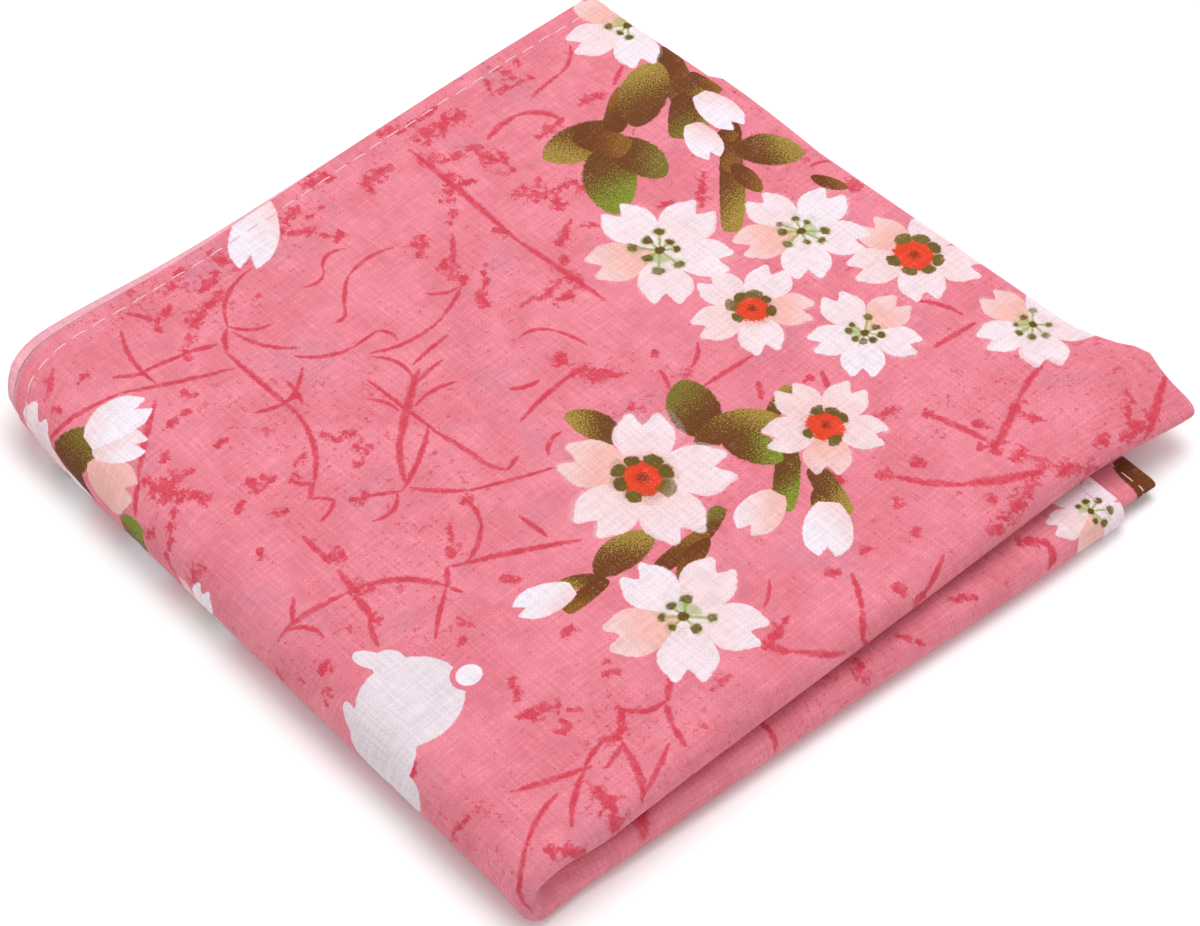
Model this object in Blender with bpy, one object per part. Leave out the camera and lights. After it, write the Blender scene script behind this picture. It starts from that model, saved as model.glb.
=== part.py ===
"""Square wrapping cloth of printed cotton, hemmed all round and folded in half four times.

The cloth is one sheet. Each modelled ply is a pair of real layers, because the first
fold is pressed flat. The next three folds are bent here one after the other:
the end fold, the front fold and the wrap fold. Then the packs of plies are set
out of line with each other, as hands leave them.

Frame: X runs along the front of the bundle, Y from front to back, Z up.
Sizes are in metres.
"""

import math
from typing import NamedTuple

import bmesh
import bpy
import numpy as np

NODE_NAME = "folded_cloth"

# The folded square
LENGTH = 0.1248
DEPTH = 0.1195
PLY = 0.00095
GAP = 0.00040

# The hem and the edge of a ply
HEM_WIDTH = 0.0045
HEM_STEP = 0.0004
HEM_EXTRA = 0.00008
EDGE_REACH = 0.0005
EDGE_MID = 0.0002
EDGE_THIN = 0.45
EDGE_MID_THIN = 0.86

# How finely each stretch of the sheet is divided, closer beside its folds and ends
PANEL_STEPS = 5
BESIDE_REACH = 0.0140
BESIDE_STEPS = 2
WRAP_STEPS = 9
FRONT_STEPS = 7
END_STEPS = 5

# The wrap fold is a little out of square, so the two halves fan out towards +X
FOLD_SKEW = math.radians(1.42)

# The back left corner is turned in
CORNER_REACH = 0.0125
CORNER_PULL = 0.0135
CORNER_POWER = 2.4
CORNER_FROM = 0.5

# The upper half's front right corner runs past the lower half and droops
EAR_REACH = 0.022
EAR_FULL = 0.0073
EAR_BAND = 0.0016
EAR_OUT = 0.0036
EAR_FORWARD = 0.0016
EAR_DROOP = 0.0020
DROOP_REACH = 0.0110

# The underside's front left corner is a little sharper than its folds
TIP_REACH = 0.0080
TIP_OUT = 0.0014

# The second pack shows as a narrow shoulder along +X
SHOULDER_BACK = 0.1000
SHOULDER_FRONT = 0.0400
SHOULDER_RISE = 0.0045
SHOULDER_OUT = 0.0034
SHOULDER_FROM = 0.6

# The mouth between the halves at the front left corner
MOUTH_ALONG = 0.0062
MOUTH_LENGTH = 0.0042
MOUTH_HALF_HEIGHT = 0.0022
MOUTH_REACH = 0.0110
MOUTH_DEPTH = 0.0026


class Pack(NamedTuple):
    """How far the back edge of one pack of two plies is out of line, in metres."""

    name: str
    back_left: float
    back_right: float


# Shares of the length and the depth over which the ends slide
SLIDE_FROM = 0.30
HOLD_TO = 0.05

# From the table up
PACKS = (
    Pack("lower outer", 0.0068, -0.0010),
    Pack("lower inner", 0.0076, -0.0046),
    Pack("upper inner", 0.0078, -0.0054),
    Pack("upper outer", -0.0044, 0.0029),
)


class Half(NamedTuple):
    """How far the right end of one half is out of line, for its outer and inner wrap."""

    name: str
    outer_front: float
    inner_front: float
    back: float


LOWER = Half("lower", -0.0170, -0.0080, -0.0035)
UPPER = Half("upper", 0.0, 0.0, 0.0)


class Swell(NamedTuple):
    """A soft rise or dip of the whole bundle, as a share of its height."""

    along: float
    across: float
    reach: float
    share: float


SWELLS = (
    Swell(0.028, 0.030, 0.026, 0.030),
    Swell(0.074, 0.020, 0.022, -0.028),
    Swell(0.104, 0.034, 0.018, 0.034),
    Swell(0.052, 0.066, 0.030, 0.032),
    Swell(0.096, 0.080, 0.024, -0.030),
    Swell(0.022, 0.092, 0.020, -0.034),
    Swell(0.074, 0.108, 0.020, 0.022),
    Swell(0.006, 0.006, 0.014, -0.075),
    Swell(0.004, 0.116, 0.014, -0.050),
    Swell(0.120, 0.114, 0.012, -0.045),
)


def smooth(values, start, end):
    """Goes softly from 0 at start to 1 at end."""
    share = np.clip((values - start) / (end - start), 0.0, 1.0)
    return share * share * (3.0 - 2.0 * share)


def stack_height(plies):
    """Height of a stack of plies with the gaps between them."""
    return plies * PLY + (plies - 1) * GAP


def axis_height(plies):
    """Height of the line about which a stack of plies is folded onto itself."""
    return stack_height(plies) + GAP / 2


def lines(*spans):
    """Joins evenly divided spans, each (start, end, steps), into one row of places."""
    places = [spans[0][0]]
    for start, end, steps in spans:
        places.extend(np.linspace(start, end, steps + 1)[1:])
    return np.array(places)


def edge_spans(edge, inward, hemmed):
    """The close lines at a free edge, from the edge inward."""
    spans = [
        (edge, edge + inward * EDGE_MID, 1),
        (edge + inward * EDGE_MID, edge + inward * EDGE_REACH, 1),
    ]
    if hemmed:
        stitched = edge + inward * HEM_WIDTH
        spans.append((spans[-1][1], stitched, 1))
        spans.append((stitched, stitched + inward * HEM_STEP, 1))
    return spans


def panel_spans(start, end):
    """The lines of a flat stretch, with its two ends divided more closely."""
    step = math.copysign(BESIDE_REACH, end - start)
    return [
        (start, start + step, BESIDE_STEPS),
        (start + step, end - step, PANEL_STEPS),
        (end - step, end, BESIDE_STEPS),
    ]


def reversed_spans(spans):
    """The same spans walked the other way."""
    return [(end, start, steps) for start, end, steps in reversed(spans)]


class Sheet:
    """The flat sheet and where its three modelled folds lie."""

    def __init__(self):
        self.end_axis = axis_height(1)
        self.front_axis = axis_height(2)
        self.wrap_axis = axis_height(4)
        self.wrap_line = self.wrap_axis
        self.front_line = self.front_axis
        wrap_arc = math.pi * self.wrap_axis
        self.wrap_far = self.wrap_line - wrap_arc
        self.end_line = self.wrap_far - (LENGTH - self.wrap_line) + self.end_axis
        self.end_turn = 2 * self.end_line - math.pi * self.end_axis
        self.front_turn = 2 * self.front_line - math.pi * self.front_axis

    def length_lines(self):
        """Places across the sheet along X, from one hem to the other."""
        first_hem = edge_spans(LENGTH, -1, True)
        other_hem = reversed_spans(edge_spans(self.end_turn - LENGTH, 1, True))
        over = self.end_turn
        return lines(
            *first_hem,
            *panel_spans(first_hem[-1][1], self.wrap_line),
            (self.wrap_line, self.wrap_far, WRAP_STEPS),
            *panel_spans(self.wrap_far, self.end_line),
            (self.end_line, over - self.end_line, END_STEPS),
            *panel_spans(over - self.end_line, over - self.wrap_far),
            (over - self.wrap_far, over - self.wrap_line, WRAP_STEPS),
            *panel_spans(over - self.wrap_line, other_hem[0][0]),
            *other_hem,
        )

    def depth_lines(self):
        """Places across the sheet along Y, from the hems to the first fold."""
        hem = edge_spans(DEPTH, -1, True)
        first_fold = reversed_spans(edge_spans(self.front_turn - DEPTH, 1, False))
        over = self.front_turn - self.front_line
        return lines(
            *hem,
            *panel_spans(hem[-1][1], self.front_line),
            (self.front_line, over, FRONT_STEPS),
            *panel_spans(over, first_fold[0][0]),
            *first_fold,
        )


def edge_share(distance):
    """Share of the full thickness this far from a free edge."""
    places = [0.0, EDGE_MID, EDGE_REACH]
    return np.interp(distance, places, [EDGE_THIN, EDGE_MID_THIN, 1.0])


def hem_rise(distance):
    """Extra thickness this far from a hemmed edge."""
    return np.interp(distance, [HEM_WIDTH, HEM_WIDTH + HEM_STEP], [HEM_EXTRA, 0.0])


def lay_flat(mesh, sheet):
    """Makes the sheet as a closed flat plate and returns its points."""
    along = sheet.length_lines()
    across = sheet.depth_lines()
    plate = bmesh.new()
    bmesh.ops.create_grid(
        plate, x_segments=len(along) - 1, y_segments=len(across) - 1, size=0.5
    )
    for vert in plate.verts:
        column = round((vert.co.x + 0.5) * (len(along) - 1))
        row = round((vert.co.y + 0.5) * (len(across) - 1))
        vert.co = (along[column], across[row], 0.0)
    grown = bmesh.ops.extrude_face_region(plate, geom=plate.faces[:])
    tops = [item for item in grown["geom"] if isinstance(item, bmesh.types.BMVert)]
    bmesh.ops.translate(plate, verts=tops, vec=(0.0, 0.0, PLY))
    bmesh.ops.recalc_face_normals(plate, faces=plate.faces[:])
    plate.to_mesh(mesh)
    plate.free()
    points = np.empty(len(mesh.vertices) * 3)
    mesh.vertices.foreach_get("co", points)
    points = points.reshape(-1, 3)
    ends = np.minimum(along.max() - points[:, 0], points[:, 0] - along.min())
    hems = np.minimum(ends, across.max() - points[:, 1])
    edges = np.minimum(hems, points[:, 1] - across.min())
    thickness = PLY * edge_share(edges)
    upper = points[:, 2] > PLY / 2
    points[:, 2] = np.where(upper, PLY / 2 + thickness / 2, PLY / 2 - thickness / 2)
    points[:, 2] += np.where(upper, hem_rise(hems), 0.0)
    return points


def fold_over(points, side, line, axis):
    """Turns all that lies beyond a line up and over, about a level axis."""
    reach = line - points[:, side]
    turn = np.clip(reach / axis, 0.0, math.pi)
    rest = np.clip(reach - math.pi * axis, 0.0, None)
    radius = axis - points[:, 2]
    folded = points.copy()
    folded[:, side] = line - radius * np.sin(turn) + rest
    folded[:, 2] = axis - radius * np.cos(turn)
    return np.where((reach > 0)[:, None], folded, points)


def turn_flat(points, angle):
    """Turns points about the vertical line through the front left corner."""
    turned = points.copy()
    turned[:, 0] = points[:, 0] * math.cos(angle) - points[:, 1] * math.sin(angle)
    turned[:, 1] = points[:, 0] * math.sin(angle) + points[:, 1] * math.cos(angle)
    return turned


def fold_all(points, sheet):
    """Makes the end fold, the front fold and the wrap fold, which is out of square."""
    points = fold_over(points, 0, sheet.end_line, sheet.end_axis)
    points = fold_over(points, 1, sheet.front_line, sheet.front_axis)
    points = turn_flat(points, -FOLD_SKEW)
    points = fold_over(points, 0, sheet.wrap_line, sheet.wrap_axis)
    return turn_flat(points, -FOLD_SKEW)


def pack_shift(heights, column):
    """A column of PACKS at these heights, softly from pack to pack."""
    step = stack_height(2) + GAP
    middles = [stack_height(2) / 2 + step * place for place in range(len(PACKS))]
    return np.interp(heights, middles, [getattr(pack, column) for pack in PACKS])


def end_shift(points, half, middle):
    """How far each point of a half slides along X at its right end."""
    behind = np.clip(axis_height(2) - points[:, 1], 0.0, None)
    radius = np.hypot(behind, points[:, 2] - middle)
    rings = [stack_height(2) / 2, stack_height(4) / 2]
    front = np.interp(radius, rings, [half.inner_front, half.outer_front])
    return front + (half.back - front) * smooth(points[:, 1] / DEPTH, HOLD_TO, 1.0)


def set_out_of_line(points):
    """Slides the packs over each other towards the right end and the back."""
    x, y, z = points.T
    out, back = x / LENGTH, y / DEPTH
    middle, between = stack_height(4) / 2, axis_height(4)
    upper = smooth(z, between - GAP, between + GAP)
    end = (1.0 - upper) * end_shift(points, LOWER, middle)
    end += upper * end_shift(points, UPPER, 2 * between - middle)
    side = np.clip(out, 0.0, None)
    rear = pack_shift(z, "back_left") * np.clip(1.0 - side, 0.0, None) ** 2
    rear += pack_shift(z, "back_right") * side
    moved = points.copy()
    moved[:, 0] += end * smooth(out, SLIDE_FROM, 1.0)
    moved[:, 1] += rear * np.clip(back, 0.0, None)
    return moved


def shape_edges(points):
    """Turns the back left corner in and draws out the ear and the shoulder."""
    x, y, z = points.T
    low, high = stack_height(4) + GAP / 2, stack_height(6) + GAP / 2
    edge = 1.0 - np.clip((x - math.tan(FOLD_SKEW) * y) / CORNER_REACH, 0.0, 1.0)
    second = smooth(z, low - GAP, low) * (1.0 - smooth(z, high - GAP / 2, high + GAP))
    strip = smooth(y, SHOULDER_FRONT, SHOULDER_BACK - SHOULDER_RISE)
    strip *= 1.0 - smooth(y, SHOULDER_BACK - SHOULDER_RISE, SHOULDER_BACK)
    outer = smooth(x, LENGTH - EAR_REACH, LENGTH)
    front = 1.0 - smooth(y, EAR_FULL, EAR_REACH)
    tip = 1.0 - smooth(y, 0.0, DROOP_REACH)
    upper = smooth(z, low - EAR_BAND, low + EAR_BAND)
    foot = (1.0 - smooth(np.hypot(x, y), 0.0, TIP_REACH)) * (1.0 - smooth(z, 0.0, low))
    moved = points.copy()
    moved[:, 0] += SHOULDER_OUT * second * strip * smooth(x, LENGTH * SHOULDER_FROM, LENGTH)
    moved[:, 0] += EAR_OUT * outer * front * upper
    moved[:, 0] -= TIP_OUT * foot
    moved[:, 1] -= CORNER_PULL * edge**CORNER_POWER * smooth(y, DEPTH * CORNER_FROM, DEPTH)
    moved[:, 1] -= EAR_FORWARD * outer**2 * tip * upper + TIP_OUT * foot
    moved[:, 2] -= EAR_DROOP * outer * tip * smooth(z, stack_height(1), low)
    return moved


def open_mouth(points):
    """Presses the fold in between the two halves, next to the front left corner."""
    x, y, z = points.T
    middle = axis_height(4)
    along = np.exp(-(((x - MOUTH_ALONG) / MOUTH_LENGTH) ** 2))
    level = np.exp(-(((z - middle) / MOUTH_HALF_HEIGHT) ** 2))
    inward = 1.0 - smooth(y, 0.0, MOUTH_REACH)
    moved = points.copy()
    moved[:, 1] += MOUTH_DEPTH * along * level * inward
    return moved


def swell(points):
    """Lets the bundle rise and sink softly, with its underside flat."""
    x, y, z = points.T
    share = np.zeros(len(points))
    for place in SWELLS:
        away = (x - place.along) ** 2 + (y - place.across) ** 2
        share += place.share * np.exp(-away / place.reach**2)
    moved = points.copy()
    moved[:, 2] = z * (1.0 + share)
    return moved


def centre(points):
    """Puts the middle of the bundle's underside at the origin."""
    low, high = points.min(axis=0), points.max(axis=0)
    middle = (low + high) / 2
    return points - np.array([middle[0], middle[1], low[2]])


def cotton_material():
    """The cloth's own plain finish."""
    material = bpy.data.materials.new("printed_cotton")
    material.use_nodes = True
    surface = material.node_tree.nodes["Principled BSDF"]
    surface.inputs["Base Color"].default_value = (0.80, 0.20, 0.27, 1.0)
    surface.inputs["Roughness"].default_value = 0.85
    return material


def build_cloth(collection):
    """Makes the sheet, folds it and adds it to the collection."""
    mesh = bpy.data.meshes.new(NODE_NAME)
    sheet = Sheet()
    points = fold_all(lay_flat(mesh, sheet), sheet)
    points = set_out_of_line(points)
    points = shape_edges(points)
    points = open_mouth(points)
    points = centre(swell(points))
    mesh.vertices.foreach_set("co", points.ravel())
    mesh.shade_smooth()
    mesh.update()
    mesh.materials.append(cotton_material())
    cloth = bpy.data.objects.new(NODE_NAME, mesh)
    collection.objects.link(cloth)
    return cloth


def main():
    """Clears the scene and builds the cloth."""
    for found in list(bpy.data.objects):
        bpy.data.objects.remove(found, do_unlink=True)
    collection = bpy.data.collections.new("wrapping_cloth")
    bpy.context.scene.collection.children.link(collection)
    build_cloth(collection)


main()
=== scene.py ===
"""Looks of a square wrapping cloth of printed cotton, hemmed and folded in half four times.

The cloth is one sheet of sixteen layers. It is laid out flat, folded by the same four folds
as the solid model, and then settled. Its print is placed on the flat cloth, so it
runs on over every fold. Lengths are in metres, and in mm where the print says so.

Frame: X runs along the front of the bundle, Y from front to back, Z up.
"""

import logging
import math
from dataclasses import dataclass, field
from enum import Enum
from typing import NamedTuple, Sequence, Union

import bmesh
import bpy
import numpy as np
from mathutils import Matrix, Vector


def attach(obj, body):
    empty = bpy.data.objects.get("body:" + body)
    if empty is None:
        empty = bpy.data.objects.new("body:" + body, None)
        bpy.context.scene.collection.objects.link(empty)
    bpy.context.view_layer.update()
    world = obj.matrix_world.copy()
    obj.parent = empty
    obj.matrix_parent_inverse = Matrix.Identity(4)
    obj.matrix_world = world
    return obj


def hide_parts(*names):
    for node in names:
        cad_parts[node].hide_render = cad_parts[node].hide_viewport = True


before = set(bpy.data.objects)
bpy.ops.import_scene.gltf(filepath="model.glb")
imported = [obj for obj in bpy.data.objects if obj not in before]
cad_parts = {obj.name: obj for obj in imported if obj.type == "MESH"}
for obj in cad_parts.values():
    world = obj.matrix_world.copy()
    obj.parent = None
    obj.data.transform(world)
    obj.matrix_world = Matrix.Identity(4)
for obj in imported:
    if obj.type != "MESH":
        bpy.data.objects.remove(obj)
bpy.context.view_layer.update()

LOG = logging.getLogger("wrapping_cloth")
NODE = "folded_cloth"
MM = 0.001
EDGE_MARGIN = 0.7
BEND_SCALE = 5.0
Points = np.ndarray
Span = tuple[float, float, int]


def smooth(values: Points, start: float, end: float) -> Points:
    """Goes softly from 0 at start to 1 at end.

    Args:
        values: Numbers to read.
        start: Where the rise begins.
        end: Where it is full.

    Returns:
        A share from 0 to 1 for each value.
    """
    share = np.clip((values - start) / (end - start), 0.0, 1.0)
    return share * share * (3.0 - 2.0 * share)


def turned_flat(points: Points, angle: float) -> Points:
    """Turns points about the vertical line through the front left corner.

    Args:
        points: Rows of x, y and z.
        angle: Turn in radians, counter-clockwise from above.

    Returns:
        The turned points.
    """
    turned = points.copy()
    turned[:, 0] = points[:, 0] * math.cos(angle) - points[:, 1] * math.sin(angle)
    turned[:, 1] = points[:, 0] * math.sin(angle) + points[:, 1] * math.cos(angle)
    return turned


class Side(Enum):
    """The flat direction that a fold turns over."""

    ALONG = 0
    ACROSS = 1


@dataclass(frozen=True)
class Fold:
    """One fold of everything beyond a line up and over a level axis.

    Attributes:
        side: The direction that is turned over.
        line: Where the bend starts.
        axis: Height of the axis above the lowest layer's underside.
    """

    side: Side
    line: float
    axis: float

    @property
    def arc(self) -> float:
        """Length of the bend along the lowest layer."""
        return math.pi * self.axis

    @property
    def far(self) -> float:
        """Where the bend ends on the flat cloth."""
        return self.line - self.arc

    @property
    def turn(self) -> float:
        """Sum of a place before the bend and the place that comes to lie over it."""
        return 2 * self.line - self.arc

    def bend(self, points: Points) -> Points:
        """Folds points over.

        Args:
            points: Rows of x, y and z.

        Returns:
            The folded points.
        """
        side = self.side.value
        reach = self.line - points[:, side]
        angle = np.clip(reach / self.axis, 0.0, math.pi)
        rest = np.clip(reach - self.arc, 0.0, None)
        radius = self.axis - points[:, 2]
        folded = points.copy()
        folded[:, side] = self.line - radius * np.sin(angle) + rest
        folded[:, 2] = self.axis - radius * np.cos(angle)
        return np.where((reach > 0)[:, None], folded, points)


@dataclass(frozen=True)
class ClothSizes:
    """Driving sizes of the folded square, the same as the solid model's.

    Attributes:
        length: Folded size along X.
        depth: Folded size along Y.
        thickness: The cotton's own thickness.
        stack: Height of all its layers with their gaps.
        layers: How many layers lie over each other.
        skew: How far the wrap fold is out of square, in radians.
        place: Where the front left corner lies, left of and in front of the origin.
    """

    length: float = 0.1248
    depth: float = 0.1195
    thickness: float = 0.00030
    stack: float = 0.0104
    layers: int = 16
    skew: float = math.radians(1.42)
    place: tuple[float, float] = (0.064203, 0.059384)

    @property
    def gap(self) -> float:
        """Air between two layers."""
        return (self.stack - self.layers * self.thickness) / (self.layers - 1)

    def axis(self, layers: int) -> float:
        """Height of the axis about which a stack of layers is folded onto itself."""
        return layers * (self.thickness + self.gap) - self.gap / 2


@dataclass(frozen=True)
class Pack:
    """How far the back edge of four layers is out of line.

    Attributes:
        name: Where the pack lies in the bundle.
        back_left: Slide of its back edge at the left end.
        back_right: Slide of its back edge at the right end.
    """

    name: str
    back_left: float
    back_right: float


@dataclass(frozen=True)
class Half:
    """How far the right end of one half is out of line.

    Attributes:
        rings: Slides of its four layers at the front, from the innermost out.
        back: Slide of its right end at the back.
        lean: How far its front is out of square, in radians.
    """

    rings: tuple[float, ...]
    back: float
    lean: float


class Swell(NamedTuple):
    """A soft rise or dip of the whole bundle, as a share of its height."""

    along: float
    across: float
    reach: float
    share: float


@dataclass(frozen=True)
class FoldPlan:
    """The four folds and the places of the hems on the flat cloth.

    Attributes:
        sizes: The folded square's sizes.
    """

    sizes: ClothSizes

    @property
    def wrap(self) -> Fold:
        """The last fold, of eight layers over eight."""
        axis = self.sizes.axis(8)
        return Fold(Side.ALONG, axis, axis)

    @property
    def front(self) -> Fold:
        """The third fold, along the front."""
        axis = self.sizes.axis(4)
        return Fold(Side.ACROSS, axis, axis)

    @property
    def end(self) -> Fold:
        """The second fold, at the right end."""
        axis = self.sizes.axis(2)
        line = self.wrap.far - (self.sizes.length - self.wrap.line) + axis
        return Fold(Side.ALONG, line, axis)

    @property
    def first(self) -> Fold:
        """The first fold, through the middle of the cloth."""
        axis = self.sizes.axis(1)
        return Fold(Side.ACROSS, self.front.turn - self.sizes.depth + axis, axis)

    @property
    def far_end(self) -> float:
        """The hem that comes to lie over the one at the right end."""
        return self.end.turn - self.sizes.length

    @property
    def far_side(self) -> float:
        """The hem that comes to lie over the one at the back."""
        return self.first.turn - self.sizes.depth

    @property
    def flat(self) -> tuple[float, float]:
        """The unfolded cloth's two sides."""
        return self.sizes.length - self.far_end, self.sizes.depth - self.far_side

    def fold_up(self, points: Points) -> Points:
        """Folds the flat cloth four times, the last time a little out of square.

        Args:
            points: Points of the flat cloth.

        Returns:
            The same points on the folded square.
        """
        for fold in (self.first, self.end, self.front):
            points = fold.bend(points)
        points = turned_flat(points, -self.sizes.skew)
        points = self.wrap.bend(points)
        return turned_flat(points, -self.sizes.skew)


class Slip(NamedTuple):
    """How far the back edge of one layer, counted from the table, lies off its pack's."""

    layer: int
    left: float
    right: float


@dataclass
class Settling:
    """Sets the folded layers out of line as hands leave them.

    Attributes:
        sizes: The folded square's sizes.
        pair: Thickness of two layers lying flat together.
        pair_gap: Air between two such pairs.
        packs: Slides of the back edges, from the table up.
        lower: Slides of the lower half's right end. The upper half lies true.
        slips: Slides of the layers that are off their packs.
        swells: Soft rises and dips of the bundle.
        parting: How sharply the lower half's slides end between the halves.
        ring_half: Half of what a ring's slide holds for.
        slide_from: Share of the length past which the layers slide.
        hold_to: Share of the depth up to which the front's slides hold.

    The other names say what they size: bulge is the fuller back edge near the left end,
    corner the back left corner that is turned in, ear the drawn-out front right corner with
    its kink and droop, tip the front left corner, shoulder the layers that stick out at the
    right, and mouth the dent between the halves beside the front left corner.
    """

    sizes: ClothSizes
    pair: float = 0.00095
    pair_gap: float = 0.00040
    packs: tuple[Pack, ...] = (
        Pack("lower outer", -0.0030, -0.0010),
        Pack("lower inner", -0.0030, -0.0046),
        Pack("upper inner", -0.0027, -0.0054),
        Pack("upper outer", -0.0044, 0.0029),
    )
    lower: Half = Half((-0.0125, -0.0088, -0.0164, -0.0170), -0.0035, 0.0496)
    slips: tuple[Slip, ...] = (
        Slip(2, -0.0006, 0.0),
        Slip(3, 0.0004, -0.0005),
        Slip(4, -0.0004, 0.0),
        Slip(13, 0.0014, 0.0),
        Slip(14, 0.0022, -0.0006),
        Slip(15, 0.0030, 0.0),
    )
    swells: tuple[Swell, ...] = (
        Swell(0.028, 0.030, 0.026, 0.030),
        Swell(0.074, 0.020, 0.022, -0.028),
        Swell(0.104, 0.034, 0.018, 0.034),
        Swell(0.052, 0.066, 0.030, 0.032),
        Swell(0.096, 0.080, 0.024, -0.030),
        Swell(0.022, 0.092, 0.020, -0.034),
        Swell(0.074, 0.108, 0.020, 0.022),
        Swell(0.006, 0.006, 0.014, -0.075),
        Swell(0.004, 0.116, 0.014, -0.050),
        Swell(0.120, 0.114, 0.012, -0.045),
    )
    parting: float = 0.00002
    ring_half: float = 0.00030
    bulge: float = 0.0026
    bulge_along: float = 0.012
    bulge_reach: float = 0.020
    bulge_from: float = 0.72
    slide_from: float = 0.30
    hold_to: float = 0.05
    corner_reach: float = 0.0125
    corner_pull: float = 0.0150
    corner_power: float = 2.4
    corner_from: float = 0.5
    corner_keep: float = 0.65
    corner_low: float = 0.003
    corner_high: float = 0.008
    ear_reach: float = 0.022
    ear_full: float = 0.0073
    ear_band: float = 0.0016
    ear_out: float = 0.0036
    ear_forward: float = 0.0016
    ear_droop: float = 0.0020
    ear_pinch: float = 0.42
    kink_out: float = 0.0011
    kink_across: float = 0.0095
    kink_reach: float = 0.0022
    droop_reach: float = 0.0110
    tip_reach: float = 0.0080
    tip_out: float = 0.0014
    shoulder_back: float = 0.1000
    shoulder_front: float = 0.0400
    shoulder_rise: float = 0.0045
    shoulder_out: float = 0.0034
    shoulder_from: float = 0.6
    mouth_along: float = 0.0062
    mouth_length: float = 0.0042
    mouth_half_height: float = 0.0022
    mouth_reach: float = 0.0110
    mouth_depth: float = 0.0026

    def pairs_height(self, pairs: int) -> float:
        """Height of a stack of flat pairs with their gaps."""
        return pairs * self.pair + (pairs - 1) * self.pair_gap

    def pairs_axis(self, pairs: int) -> float:
        """Height of the axis that a stack of pairs is folded about."""
        return self.pairs_height(pairs) + self.pair_gap / 2

    def pack_shift(self, heights: Points, ends: Sequence[float]) -> Points:
        """Reads the packs' slides at these heights.

        Args:
            heights: Heights in the stack.
            ends: One slide for each pack, from the table up.

        Returns:
            A slide for each height.
        """
        step = self.pairs_height(2) + self.pair_gap
        middles = [self.pairs_height(2) / 2 + step * place for place in range(len(self.packs))]
        return np.interp(heights, middles, ends)

    def slip_shift(self, heights: Points, ends: Sequence[float]) -> Points:
        """Reads the single layers' slides at these heights, level through each layer.

        Args:
            heights: Heights in the stack.
            ends: One slide for each layer, from the table up.

        Returns:
            A slide for each height.
        """
        pitch = self.sizes.thickness + self.sizes.gap
        places, slides = [], []
        for number, slide in enumerate(ends):
            places += [number * pitch, number * pitch + self.sizes.thickness]
            slides += [slide, slide]
        return np.interp(heights, places, slides)

    def back_shift(self, points: Points, ends: Sequence[float], end: int) -> Points:
        """How far each point slides along Y at one end of the back edge.

        Round the wrap fold a layer goes over softly from its slide above to that below.

        Args:
            points: Points of the folded square.
            ends: The packs' slides at that end.
            end: 0 for the left end, 1 for the right end.

        Returns:
            A slide for each point.
        """
        x, y, z = points.T
        axis = self.sizes.axis(8)
        bent = np.clip(axis - x + math.tan(self.sizes.skew) * y, 0.0, None)
        radius = np.hypot(bent, z - axis)
        above = smooth(np.arctan2(z - axis, bent) / math.pi + 0.5, 0.0, 1.0)
        slips = [0.0] * self.sizes.layers
        for slip in self.slips:
            slips[slip.layer - 1] = (slip.left, slip.right)[end]
        top = self.pack_shift(axis + radius, ends) + self.slip_shift(axis + radius, slips)
        low = self.pack_shift(axis - radius, ends) + self.slip_shift(axis - radius, slips)
        return top * above + low * (1.0 - above)

    def end_shift(self, points: Points) -> Points:
        """How far each point of the lower half slides along X at its right end.

        Args:
            points: Points of the folded square.

        Returns:
            A slide for each point.
        """
        half = self.lower
        front = points[:, 1] + math.tan(half.lean) * points[:, 0]
        behind = np.clip(self.pairs_axis(2) - front, 0.0, None)
        radius = np.hypot(behind, points[:, 2] - self.pairs_height(4) / 2)
        pitch = self.sizes.thickness + self.sizes.gap
        places, slides = [], []
        for number, slide in enumerate(half.rings):
            centre = (number + 0.5) * pitch
            places += [centre - self.ring_half, centre + self.ring_half]
            slides += [slide, slide]
        slide = np.interp(radius, places, slides)
        back = smooth(front / self.sizes.depth, self.hold_to, 1.0)
        return slide + (half.back - slide) * back

    def slide(self, points: Points) -> Points:
        """Slides the packs and the layers over each other at the right end and the back."""
        x, y, z = points.T
        out, back = x / self.sizes.length, y / self.sizes.depth
        between = self.pairs_axis(4)
        high = smooth(z, between - self.parting, between + self.parting)
        end = (1.0 - high) * self.end_shift(points)
        side = np.clip(out, 0.0, None)
        left = np.clip(1.0 - side, 0.0, None) ** 2
        rear = self.back_shift(points, [pack.back_left for pack in self.packs], 0) * left
        rear += self.back_shift(points, [pack.back_right for pack in self.packs], 1) * side
        full = self.bulge * np.exp(-(((x - self.bulge_along) / self.bulge_reach) ** 2))
        moved = points.copy()
        moved[:, 0] += end * smooth(out, self.slide_from, 1.0)
        moved[:, 1] += rear * np.clip(back, 0.0, None) + full * smooth(back, self.bulge_from, 1.0)
        return moved

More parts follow.
